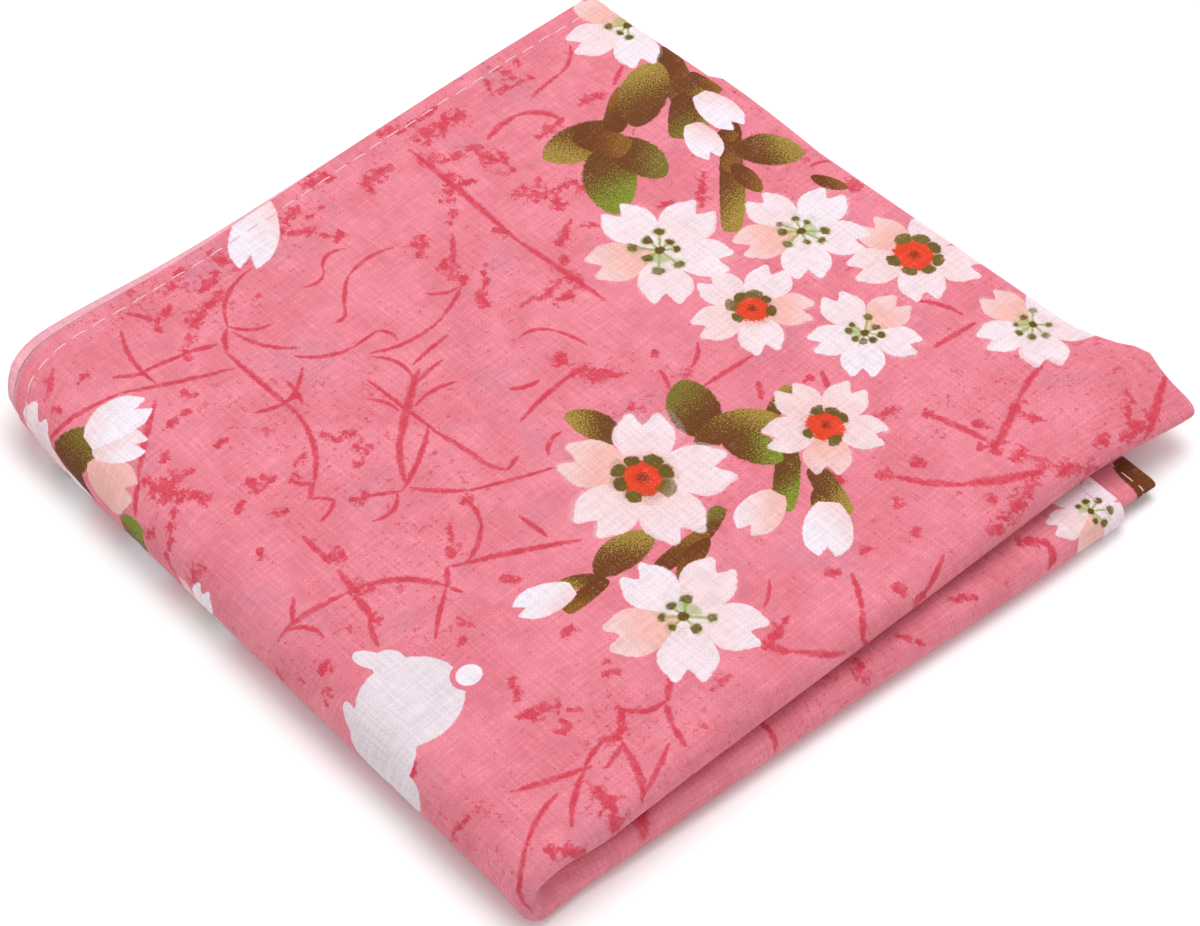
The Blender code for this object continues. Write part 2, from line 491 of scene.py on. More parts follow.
    def shape_edges(self, points: Points) -> Points:
        """Turns the back left corner in and draws out the ear and the shoulder."""
        x, y, z = points.T
        length, depth = self.sizes.length, self.sizes.depth
        low = self.pairs_height(4) + self.pair_gap / 2
        high = self.pairs_height(6) + self.pair_gap / 2
        away = (x - math.tan(self.sizes.skew) * y) / self.corner_reach
        edge = 1.0 - np.clip(away, 0.0, 1.0)
        second = smooth(z, low - self.pair_gap, low)
        second *= 1.0 - smooth(z, high - self.pair_gap / 2, high + self.pair_gap)
        rise_from = self.shoulder_back - self.shoulder_rise
        strip = smooth(y, self.shoulder_front, rise_from)
        strip *= 1.0 - smooth(y, rise_from, self.shoulder_back)
        outer = smooth(x, length - self.ear_reach, length)
        front = 1.0 - smooth(y, self.ear_full, self.ear_reach)
        tip = 1.0 - smooth(y, 0.0, self.droop_reach)
        upper = smooth(z, low - self.ear_band, low + self.ear_band)
        foot = 1.0 - smooth(np.hypot(x, y), 0.0, self.tip_reach)
        foot *= 1.0 - smooth(z, 0.0, low)
        kept = 1.0 - self.corner_keep * smooth(z, self.corner_low, self.corner_high)
        pull = self.corner_pull * edge**self.corner_power * kept
        droop = smooth(z, self.pairs_height(1), low)
        moved = points.copy()
        shoulder = smooth(x, length * self.shoulder_from, length)
        moved[:, 0] += self.shoulder_out * second * strip * shoulder
        moved[:, 0] += self.ear_out * outer * front * upper - self.tip_out * foot
        moved[:, 1] -= pull * smooth(y, depth * self.corner_from, depth)
        moved[:, 1] -= self.ear_forward * outer**2 * tip * upper + self.tip_out * foot
        moved[:, 2] -= self.ear_droop * outer * tip * droop
        middle = 3 * self.pairs_height(4) / 2
        moved[:, 2] -= self.ear_pinch * (z - middle) * outer * tip * upper
        kink = np.exp(-(((y - self.kink_across) / self.kink_reach) ** 2))
        moved[:, 0] += self.kink_out * kink * outer * upper
        return moved

    def open_mouth(self, points: Points) -> Points:
        """Presses the fold in between the halves, next to the front left corner."""
        x, y, z = points.T
        along = np.exp(-(((x - self.mouth_along) / self.mouth_length) ** 2))
        level = np.exp(-(((z - self.pairs_axis(4)) / self.mouth_half_height) ** 2))
        inward = 1.0 - smooth(y, 0.0, self.mouth_reach)
        moved = points.copy()
        moved[:, 1] += self.mouth_depth * along * level * inward
        return moved

    def swell(self, points: Points) -> Points:
        """Lets the bundle rise and sink softly, with its underside flat."""
        x, y, z = points.T
        share = np.zeros(len(points))
        for place in self.swells:
            away = (x - place.along) ** 2 + (y - place.across) ** 2
            share += place.share * np.exp(-away / place.reach**2)
        moved = points.copy()
        moved[:, 2] = z * (1.0 + share)
        return moved

    def settle(self, points: Points) -> Points:
        """Settles the folded square and puts it in its place.

        Args:
            points: Points of the square, just folded.

        Returns:
            The points where they lie on the table.
        """
        for move in (self.slide, self.shape_edges, self.open_mouth, self.swell):
            points = move(points)
        return points - np.array([*self.sizes.place, 0.0])


def steps_between(start: float, end: float, pitch: float, least: int = 2) -> Span:
    """Divides a stretch evenly at about this pitch."""
    return start, end, max(least, round(abs(end - start) / pitch))


def places_of(spans: Sequence[Span]) -> Points:
    """Joins evenly divided stretches into one row of places.

    Args:
        spans: Stretches that follow each other, each with its number of steps.

    Returns:
        The places, from the first stretch's start to the last one's end.
    """
    places = [spans[0][0]]
    for start, end, steps in spans:
        places.extend(np.linspace(start, end, steps + 1)[1:])
    return np.array(places)


@dataclass
class CottonSheet:
    """The cloth itself, one hemmed sheet.

    Attributes:
        plan: Its four folds.
        settling: How the layers lie.
        hem_width: Width of the turned hem.
        hem_step: Over what width the hem's thickness runs out.
        hem_in: How much the hem thickens the wrong side.
        hem_out: How much the hem stands proud of the printed side.
        rim: Width of the rounded edge.
        rim_share: Thickness left at the very edge, as a share.
        fine: Pitch of the top panel's lines.
        coarse: Pitch of the hidden panels' lines.
        bend_pitch: Pitch of the lines round a wide bend.
        loose: Where the right end's closer lines start, in from the left.
    """

    plan: FoldPlan
    settling: Settling
    hem_width: float = 0.0036
    hem_step: float = 0.0004
    hem_in: float = 0.00013
    hem_out: float = 0.00007
    rim: float = 0.00022
    rim_share: float = 0.45
    fine: float = 0.0020
    coarse: float = 0.0052
    bend_pitch: float = 0.0012
    loose: float = 0.1020

    def hem_spans(self, edge: float, inward: int) -> list[Span]:
        """The close lines of a hem, from its edge inward."""
        sewn = edge + inward * self.hem_width
        return [
            (edge, edge + inward * self.rim, 1),
            (edge + inward * self.rim, sewn, 2),
            (sewn, sewn + inward * self.hem_step, 1),
        ]

    @staticmethod
    def backwards(spans: Sequence[Span]) -> list[Span]:
        """The same stretches walked the other way."""
        return [(end, start, steps) for start, end, steps in reversed(spans)]

    def lines_along(self) -> Points:
        """Places of the grid's lines from the right end's hem to the one over it."""
        wrap, end, plan = self.plan.wrap, self.plan.end, self.plan
        first = self.hem_spans(plan.sizes.length, -1)
        last = self.backwards(self.hem_spans(plan.far_end, 1))
        over_near, over_far = end.turn - wrap.far, end.turn - wrap.line
        return places_of(
            [
                *first,
                steps_between(first[-1][1], self.loose, self.fine * 0.5),
                steps_between(self.loose, wrap.line, self.coarse),
                steps_between(wrap.line, wrap.far, self.bend_pitch),
                steps_between(wrap.far, end.line, self.fine),
                (end.line, end.far, 8),
                steps_between(end.far, over_near, self.coarse),
                steps_between(over_near, over_far, self.bend_pitch * 1.4),
                steps_between(over_far, end.turn - self.loose, self.coarse),
                steps_between(end.turn - self.loose, last[0][0], self.fine * 0.5),
                *last,
            ]
        )

    def lines_across(self) -> Points:
        """Places of the grid's lines from the back hem to the one over it."""
        front, middle, plan = self.plan.front, self.plan.first, self.plan
        first = self.hem_spans(plan.sizes.depth, -1)
        last = self.backwards(self.hem_spans(plan.far_side, 1))
        over_near, over_far = middle.turn - front.far, middle.turn - front.line
        return places_of(
            [
                *first,
                steps_between(first[-1][1], front.line, self.fine),
                (front.line, front.far, 12),
                steps_between(front.far, middle.line, self.coarse),
                (middle.line, middle.far, 6),
                steps_between(middle.far, over_near, self.coarse),
                (over_near, over_far, 8),
                steps_between(over_far, last[0][0], self.coarse),
                *last,
            ]
        )

    def lay_out(self) -> bmesh.types.BMesh:
        """Lays the cloth out flat as a grid with two sides.

        Returns:
            The flat cloth, printed side down.
        """
        along, across = self.lines_along(), self.lines_across()
        cloth = bmesh.new()
        bmesh.ops.create_grid(
            cloth, x_segments=len(along) - 1, y_segments=len(across) - 1, size=0.5
        )
        for vert in cloth.verts:
            column = round((vert.co.x + 0.5) * (len(along) - 1))
            row = round((vert.co.y + 0.5) * (len(across) - 1))
            vert.co = (along[column], across[row], 0.0)
        grown = bmesh.ops.extrude_face_region(cloth, geom=cloth.faces[:])
        tops = [item for item in grown["geom"] if isinstance(item, bmesh.types.BMVert)]
        bmesh.ops.translate(cloth, verts=tops, vec=(0.0, 0.0, self.plan.sizes.thickness))
        bmesh.ops.recalc_face_normals(cloth, faces=cloth.faces[:])
        return cloth

    def thicken(self, points: Points) -> Points:
        """Gives the flat cloth its rounded edges and its hems.

        Args:
            points: Points of the flat cloth.

        Returns:
            The points with their heights set.
        """
        sizes, plan = self.plan.sizes, self.plan
        ends = np.minimum(sizes.length - points[:, 0], points[:, 0] - plan.far_end)
        sides = np.minimum(sizes.depth - points[:, 1], points[:, 1] - plan.far_side)
        edge = np.minimum(ends, sides)
        hem = 1.0 - smooth(edge, self.hem_width, self.hem_width + self.hem_step)
        low = -self.hem_out * hem
        high = sizes.thickness + self.hem_in * hem
        full = np.interp(edge, [0.0, self.rim], [self.rim_share, 1.0])
        middle, half = (low + high) / 2, (high - low) / 2 * full
        upper = points[:, 2] > sizes.thickness / 2
        moved = points.copy()
        moved[:, 2] = np.where(upper, middle + half, middle - half)
        return moved

    def place(self, points: Points) -> Points:
        """Folds and settles points that are given on the flat cloth."""
        return self.settling.settle(self.plan.fold_up(points))

    def flat_points(self, mesh: bpy.types.Mesh) -> Points:
        """Reads a mesh's points as rows of x, y and z."""
        points = np.empty(len(mesh.vertices) * 3)
        mesh.vertices.foreach_get("co", points)
        return points.reshape(-1, 3)

    def build(self) -> tuple[bpy.types.Object, Points, Points]:
        """Builds the folded cloth.

        Returns:
            The piece, its flat points and, for each face, whether it is on the printed side.
        """
        mesh = bpy.data.meshes.new("printed_cotton_sheet")
        cloth = self.lay_out()
        cloth.to_mesh(mesh)
        cloth.free()
        flat = self.flat_points(mesh)
        normals = np.empty(len(mesh.polygons) * 3)
        mesh.polygons.foreach_get("normal", normals)
        printed = normals.reshape(-1, 3)[:, 2] < -0.5
        self.lay_weave(mesh, flat)
        shaped = self.place(self.thicken(flat))
        mesh.vertices.foreach_set("co", shaped.ravel())
        mesh.shade_smooth()
        mesh.update()
        piece = bpy.data.objects.new("printed_cotton_sheet", mesh)
        bpy.context.scene.collection.objects.link(piece)
        return piece, flat, printed

    def lay_weave(self, mesh: bpy.types.Mesh, flat: Points) -> None:
        """Keeps each corner's place on the flat cloth as its UV, in metres.

        Args:
            mesh: The cloth's mesh.
            flat: Its flat points.
        """
        corners = np.empty(len(mesh.loops), dtype=np.int64)
        mesh.loops.foreach_get("vertex_index", corners)
        places = self.on_cloth(flat[corners])
        layer = mesh.uv_layers.new(name="cloth")
        layer.data.foreach_set("uv", places.ravel())

    def on_cloth(self, flat: Points) -> Points:
        """Turns flat points into distances from the hems, seen from the printed side."""
        sizes = self.plan.sizes
        return np.stack([sizes.length - flat[:, 0], flat[:, 1] - sizes.depth], axis=1)


class Thread(NamedTuple):
    """One row of stitches beside a hem."""

    start: tuple[float, float]
    stop: tuple[float, float]


@dataclass
class HemStitching:
    """The rows of straight stitches that hold the four hems.

    Attributes:
        sheet: The cloth that they hold.
        inset: Distance of the row from the cloth's edge.
        pitch: Distance from stitch to stitch.
        length: Length of a stitch.
        radius: Half the thread's thickness.
        flatness: Thread's height as a share of its width.
        wander: How far a stitch may lie off its row.
        slant: How far it may turn out of its row, in radians.
        sides: Sides of the thread.
        ribs: Where a stitch has rings of points, as shares of half its length.
    """

    sheet: CottonSheet
    inset: float = 0.0027
    pitch: float = 0.0036
    length: float = 0.0027
    radius: float = 0.00013
    flatness: float = 0.6
    wander: float = 0.00012
    slant: float = 0.04
    sides: int = 6
    ribs: tuple[float, ...] = (-0.85, -0.5, 0.0, 0.5, 0.85)

    def rows(self) -> list[Thread]:
        """The four rows, each from corner to corner."""
        plan = self.sheet.plan
        right, left = plan.sizes.length - self.inset, plan.far_end + self.inset
        back, front = plan.sizes.depth - self.inset, plan.far_side + self.inset
        return [
            Thread((right, back), (left, back)),
            Thread((left, back), (left, front)),
            Thread((left, front), (right, front)),
            Thread((right, front), (right, back)),
        ]

    def model_stitch(self) -> bpy.types.Mesh:
        """Makes the one stitch that the others are copies of, upright about the origin.

        Returns:
            Its mesh.
        """
        work = bmesh.new()
        bmesh.ops.create_cone(
            work,
            cap_ends=True,
            segments=self.sides,
            radius1=self.radius,
            radius2=self.radius,
            depth=self.length,
        )
        for share in self.ribs:
            bmesh.ops.bisect_plane(
                work,
                geom=work.verts[:] + work.edges[:] + work.faces[:],
                plane_co=(0.0, 0.0, share * self.length / 2),
                plane_no=(0.0, 0.0, 1.0),
            )
        model = bpy.data.meshes.new("one_stitch")
        work.to_mesh(model)
        work.free()
        return model

    def stitch_places(self) -> tuple[Points, Points, Points]:
        """Works out where the stitches lie.

        Returns:
            Their middles and directions on the flat cloth, and 1 for the printed side or -1.
        """
        rng = np.random.default_rng(7)
        middles, ways, sides = [], [], []
        for row in self.rows():
            start, stop = np.array(row.start), np.array(row.stop)
            run = float(np.linalg.norm(stop - start))
            way = (stop - start) / run
            across = np.array([-way[1], way[0]])
            for number in range(int(run / self.pitch)):
                off, turn = rng.uniform(-1.0, 1.0, 2)
                middle = start + way * (number + 0.5) * self.pitch
                slant = way + across * turn * self.slant
                middles += [middle + across * off * self.wander]
                middles += [middles[-1] + way * self.pitch / 2]
                ways += [slant / np.linalg.norm(slant)] * 2
                sides += [1.0, -1.0]
        return np.array(middles), np.array(ways), np.array(sides)

    def lay_stitches(self, shape: Points) -> Points:
        """Lays the stitches on the flat cloth, each dipping into it at both ends.

        Args:
            shape: For each stitch, its points upright about the origin.

        Returns:
            The points on the flat cloth.
        """
        middles, ways, sides = (part[:, None] for part in self.stitch_places())
        across = np.stack([-ways[..., 1], ways[..., 0]], axis=-1)
        share = shape[..., 2:] / (self.length / 2)
        slim = 1.0 - 0.35 * share**4
        flat = middles + ways * shape[..., 2:] + across * shape[..., :1] * slim
        sheet = self.sheet
        level = np.where(sides > 0, -sheet.hem_out, sheet.plan.sizes.thickness + sheet.hem_in)
        lift = self.radius * (0.35 - 1.2 * share[..., 0] ** 4)
        height = level - sides * lift + shape[..., 1] * slim[..., 0] * self.flatness
        return np.concatenate([flat, height[..., None]], axis=-1)

    def build(self) -> bpy.types.Object:
        """Builds all the stitches as one piece, each moved as the hem under it.

        Returns:
            The piece.
        """
        model = self.model_stitch()
        count = len(self.stitch_places()[0])
        work = bmesh.new()
        for _ in range(count):
            work.from_mesh(model)
        mesh = bpy.data.meshes.new("hem_stitches")
        work.to_mesh(mesh)
        work.free()
        bpy.data.meshes.remove(model)
        sheet = self.sheet
        shape = sheet.flat_points(mesh).reshape(count, -1, 3)
        self.keep_twist(mesh, shape.reshape(-1, 3))
        flat = self.lay_stitches(shape).reshape(-1, 3)
        hem = flat.copy()
        hem[:, 2] = np.clip(flat[:, 2], -sheet.hem_out, sheet.plan.sizes.thickness + sheet.hem_in)
        laid = sheet.place(hem) + sheet.plan.fold_up(flat) - sheet.plan.fold_up(hem)
        mesh.vertices.foreach_set("co", laid.ravel())
        mesh.update()
        mesh.shade_smooth()
        self.point_out(mesh)
        piece = bpy.data.objects.new("hem_stitches", mesh)
        bpy.context.scene.collection.objects.link(piece)
        return piece

    def keep_twist(self, mesh: bpy.types.Mesh, shape: Points) -> None:
        """Keeps each point's place along its stitch and its direction round it.

        Args:
            mesh: The stitches' mesh.
            shape: Each stitch's points, upright about the origin.
        """
        kept = mesh.attributes.new("thread", "FLOAT_VECTOR", "POINT")
        twist = np.stack([shape[:, 2], shape[:, 0] / self.radius, shape[:, 1] / self.radius])
        kept.data.foreach_set("vector", twist.T.ravel())

    @staticmethod
    def point_out(mesh: bpy.types.Mesh) -> None:
        """Turns every face outwards."""
        work = bmesh.new()
        work.from_mesh(mesh)
        bmesh.ops.recalc_face_normals(work, faces=work.faces[:])
        work.to_mesh(mesh)
        work.free()


@dataclass(frozen=True)
class Chart:
    """Where one motif lies on the flat cloth.

    Attributes:
        start: The motif's origin, along and down from the hems, in mm.
        turn: Direction of its own x, counter-clockwise from +X, in radians.
        size: What counts as 1 along its x and its y, in mm.
        low: Lowest x and y at which it shows.
        high: Highest x and y at which it shows.
        mark: Third number that its shader reads.
    """

    start: tuple[float, float]
    turn: float
    size: tuple[float, float]
    low: tuple[float, float]
    high: tuple[float, float]
    mark: float

    def turned_round(self, middle: tuple[float, float]) -> "Chart":
        """The same motif half a turn round a middle."""
        start = (2 * middle[0] - self.start[0], 2 * middle[1] - self.start[1])
        return Chart(start, self.turn + math.pi, self.size, self.low, self.high, self.mark)

    def read(self, places: Points) -> Points:
        """Gives places on the cloth in the motif's own x and y.

        Args:
            places: Places as the cloth's UV has them, in metres.

        Returns:
            The same places as the motif's x and y.
        """
        across = places[..., 0] / MM - self.start[0]
        up = places[..., 1] / MM + self.start[1]
        x = across * math.cos(self.turn) + up * math.sin(self.turn)
        y = up * math.cos(self.turn) - across * math.sin(self.turn)
        return np.stack([x / self.size[0], y / self.size[1]], axis=-1)


def chart_between(
    start: tuple[float, float], stop: tuple[float, float], half: float, bow: float, mark: float
) -> Chart:
    """Charts a motif that runs from one place to another.

    Args:
        start: Where it starts, in mm along and down from the hems.
        stop: Where it ends.
        half: Half its width.
        bow: How far its middle bends to the left of its run.
        mark: Third number that its shader reads.

    Returns:
        The chart.
    """
    run = (stop[0] - start[0], start[1] - stop[1])
    bend = bow / half
    margin = 1.0 + EDGE_MARGIN / half
    low = (-EDGE_MARGIN / math.hypot(*run), min(0.0, bend) - margin)
    high = (1.0 + EDGE_MARGIN / math.hypot(*run), max(0.0, bend) + margin)
    turn = math.atan2(run[1], run[0])
    return Chart(start, turn, (math.hypot(*run), half), low, high, mark)


class Stroke(NamedTuple):
    """A thin curved scratch, or a splash, of darker pink, in mm."""

    along: float
    down: float
    to_along: float
    to_down: float
    half: float
    bow: float = 0.0

    def chart(self) -> Chart:
        """Charts it with its bend as the mark."""
        start, stop = (self.along, self.down), (self.to_along, self.to_down)
        return chart_between(start, stop, self.half, self.bow, self.bow / self.half)


class Green(Enum):
    """How a leaf or a twig is coloured towards its tip."""

    BROWN = 0
    GOLD = 1
    OLIVE = 2
    BRIGHT = 3


class Leaf(NamedTuple):
    """A leaf, or a blunt twig, from its foot to its tip, in mm."""

    along: float
    down: float
    to_along: float
    to_down: float
    half: float
    bow: float
    green: Green
    twig: bool = False

    def chart(self) -> Chart:
        """Charts it with its colour, its form and its bend as the mark."""
        start, stop = (self.along, self.down), (self.to_along, self.to_down)
        bend = min(max(self.bow / self.half / BEND_SCALE, -0.45), 0.45)
        mark = self.green.value + 4 * self.twig + 0.5 + bend
        return chart_between(start, stop, self.half, self.bow, mark)


class Bud(NamedTuple):
    """A closed blossom from its foot to its notched tip, in mm."""

    along: float
    down: float
    to_along: float
    to_down: float
    half: float
    peach: float

    def chart(self) -> Chart:
        """Charts it with its tint as the mark."""
        start, stop = (self.along, self.down), (self.to_along, self.to_down)
        return chart_between(start, stop, self.half, 0.0, self.peach)


class Centre(Enum):
    """What a blossom's middle is like."""

    GREEN = 0
    RED = 1


class Blossom(NamedTuple):
    """A blossom of five notched petals, in mm and degrees."""

    along: float
    down: float
    radius: float
    tinted_petal: float
    centre: Centre
    seed: float

    def chart(self) -> Chart:
        """Charts it with its tinted petal along x."""
        size = (self.radius, self.radius)
        reach = 1.15
        mark = self.centre.value + self.seed
        turn = math.radians(self.tinted_petal)
        place = (self.along, self.down)
        return Chart(place, turn, size, (-reach, -reach), (reach, reach), mark)


class Beast(NamedTuple):
    """A plain white animal shape made of ovals, in mm and degrees."""

    along: float
    down: float
    size: float
    turn: float

    def chart(self) -> Chart:
        """Charts it about its body's middle."""
        size = (self.size, self.size)
        turn = math.radians(self.turn)
        return Chart((self.along, self.down), turn, size, (-1.6, -1.6), (1.6, 1.6), 0.0)


def drawn(kind: type, *rows: tuple[Union[float, Enum], ...]) -> tuple[tuple, ...]:
    """Makes one motif of each row, whose columns are that kind of motif's own, in order."""
    return tuple(kind(*row) for row in rows)


@dataclass(frozen=True)
class PrintDesign:
    """Every motif of the print, placed in mm along and down from the hems."""

    strokes: tuple[Stroke, ...] = drawn(
        Stroke,
        (132.5, 8, 146, 15.2, 0.38, -1.3), (145.5, 15, 161, 22.6, 0.38, -0.2),
        (153.5, 6, 150.7, 17.3, 0.38, -1.0), (146.8, 12.3, 151, 15, 0.4),
        (150.5, 14.3, 158.5, 15.9, 0.35, 0.1), (157.5, 15.5, 162, 17.3, 0.45),
        (155.8, 3.5, 158.6, 8.6, 0.4, 0.3), (175.5, 9, 165.2, 15.8, 0.36, -2),
        (165.3, 15.5, 170.5, 19.8, 0.34, -1), (165.1, 16.5, 170.3, 26.3, 0.36, -1.2),
        (165, 15.8, 162, 19.5, 0.42, -0.4), (161.8, 19, 161.6, 36, 0.45),
        (161.7, 34.5, 154.3, 47.8, 0.46, 1.6), (154.8, 47.3, 152.3, 49.3, 0.45),
        (162.3, 19.8, 164.5, 30, 0.36, 0.3), (164.5, 29.5, 163.2, 35, 0.36, 0.4),
        (157.3, 31, 162.5, 33, 0.4, -0.3), (162.3, 33, 168, 29.3, 0.36, -0.4),
        (152.7, 45, 154.8, 47.5, 0.4, -0.3), (152.6, 49.5, 154.8, 52.2, 0.33, 0.3),
        (155, 51.8, 150.7, 53.6, 0.33, 0.4), (133, 30.5, 137.5, 28, 0.5),
        (137, 28.2, 148.8, 19.3, 0.52), (147.4, 53.5, 146.9, 60.5, 0.45),
        (158.5, 54.8, 162.5, 57.5, 0.36), (170.5, 48.5, 163.8, 57.2, 0.5, -0.6),
        (162, 57.2, 156, 58.8, 0.42, 1.4), (163.8, 57.8, 169.5, 64.2, 0.4, -0.4),
        (169, 64, 181.5, 69.6, 0.34, -0.2), (178.2, 17.3, 183, 17, 0.33, -1),
        (182.5, 17.3, 188.2, 15.9, 0.34, 1.6), (177, 26.2, 180, 25.2, 0.36, -0.6),
        (179.7, 25.5, 185, 20.3, 0.36, 0.4), (184.5, 20.6, 193.6, 20.9, 0.35, 1),
        (168.5, 26.8, 176, 31.8, 0.36, -1), (175.5, 31.9, 180.5, 31.9, 0.33, 0.1),
        (180.3, 31.8, 181.3, 35.5, 0.33, 0.7), (176.5, 34.3, 189.5, 36.6, 0.37, -1.4),
        (189, 36.6, 195.5, 33.8, 0.37, -0.3), (190.5, 31.2, 195.3, 33.8, 0.36, -0.7),
        (198, 29.5, 202, 24.8, 0.45), (209.3, 6.5, 208, 33, 0.55, 0.2), (208, 32, 209, 51, 0.5, 0.2),
        (170.2, 40.7, 172.3, 46, 0.35, 0.7), (173, 37.8, 173.5, 54, 0.38),
        (173.4, 52, 174.7, 61.8, 0.4), (176.3, 35, 177.3, 43.8, 0.36, 1.7),
        (180, 41.8, 167.5, 51.5, 0.66, -0.4), (179.6, 40.7, 187.5, 39.9, 0.36, 0.2),
        (177.5, 43.8, 183.5, 43, 0.36, 0.2), (174.5, 46.9, 182.3, 47.8, 0.36, 0.8),
        (173.5, 51, 162.5, 57.6, 0.44, 0.6), (194.3, 47.5, 199.5, 50.5, 0.34, 1.1),
        (199.3, 50.2, 200.8, 55.6, 0.34, 0.3), (186.5, 54, 191, 55.7, 0.45, -0.5),
        (183.3, 59.8, 196.5, 58.2, 0.42, 0.5), (219.5, 13.6, 227, 12.6, 0.55, 0.4),
        (226.5, 12.5, 231.3, 18, 0.55, 1), (231, 11.4, 238.5, 10.3, 0.36, 0.2),
        (238, 10.4, 244.3, 6.3, 0.36, -0.8), (242.5, 18, 247, 15.5, 0.42),
        (133.3, 64.8, 146, 66.3, 0.48, 0.6), (136.5, 64.6, 139.5, 61.2, 0.4),
        (135.3, 65, 137.9, 70, 0.42, 1.1), (146.5, 66.3, 155.8, 75, 0.55, 1.4),
        (147, 62, 145.9, 67, 0.5), (145.5, 67, 144.7, 72, 0.6, 0.2),
        (144.7, 71.5, 142.2, 76.3, 0.42, -0.3), (155.7, 75, 148.5, 80.8, 0.36, -0.2),
        (155.5, 75.3, 158, 72.5, 0.45), (155.8, 75.2, 156.6, 77.4, 0.33),
        (158, 72.5, 175, 82, 0.5, 0.2), (160.5, 73.8, 167, 69.5, 0.4, -0.6),
        (166.5, 70, 168, 65.2, 0.4, -0.4), (171.3, 72.5, 171.6, 78.2, 0.4, 0.2),
        (174, 60, 175.8, 65.3, 0.38, -0.2), (175.8, 65.2, 179, 64.3, 0.36),
        (182, 67.2, 186.5, 65.2, 0.4, 0.8), (139.3, 106.5, 149.8, 111, 0.48, -0.2),
        (148.5, 110.7, 154.3, 109, 0.38, 0.4), (150.5, 112.5, 155.3, 111, 0.38, -0.2),
        (153, 108.3, 155.5, 110.5, 0.5), (156, 109.8, 158.8, 106.8, 0.6),
        (158.8, 107.3, 164.3, 110, 0.46, -1), (164, 110.2, 167.2, 107.3, 0.5),
        (148.5, 110.8, 141.3, 116.3, 0.46, -0.5), (143.8, 111, 135.5, 114.2, 0.4, -0.6),
        (136, 113.8, 126, 119.5, 0.42, 0.3), (155, 110.8, 151, 119.8, 0.55, 0.5),
        (151.5, 119, 159.5, 115.3, 0.38, -0.2), (163.5, 110.3, 161.8, 113.5, 0.5),
        (161.8, 113.3, 160.6, 117.3, 0.46), (180.3, 111.5, 182, 115.5, 0.7, -0.3),
        (181.8, 115, 188.3, 120.3, 0.52, -0.6), (184.5, 107.5, 188.8, 104.3, 0.3, -0.3),
        (197.8, 111, 194, 116.8, 0.42, 0.2), (194.2, 116.5, 191.3, 120.5, 0.5, -0.2),
        (191.5, 120, 193, 123.5, 0.42), (202, 121, 209.5, 117.3, 0.42),
        (203.3, 69.7, 205, 66, 0.36, -0.3), (208.5, 69, 213, 65.8, 0.36, -0.5),
        (207.5, 72.7, 217, 73.3, 0.4), (211.7, 80.3, 213.9, 77.3, 0.5),
        (214.8, 102.8, 221, 110.8, 0.6, -0.4), (220.5, 110.2, 230, 116, 0.8, -0.3),
        (226.8, 98, 229.3, 107.5, 0.6, 0.2), (228.5, 109, 238.5, 104.8, 0.62, -0.2),
        (238, 105, 246.5, 102.5, 0.46, 0.3), (219.5, 86.3, 222, 82.2, 0.46),
        (242, 81.7, 245, 88.5, 0.43, 0.6), (236.5, 90, 245.3, 90.8, 0.43),
        (255.3, 114.2, 246, 120.5, 0.52, -0.6), (251.5, 51.5, 255, 53, 0.28, 0.4),
        (82, 127, 82.5, 121, 0.5, 0.5), (103, 127.5, 105.5, 121.5, 1.0), (14.5, 125, 17, 121, 0.8, 0.5),
    )
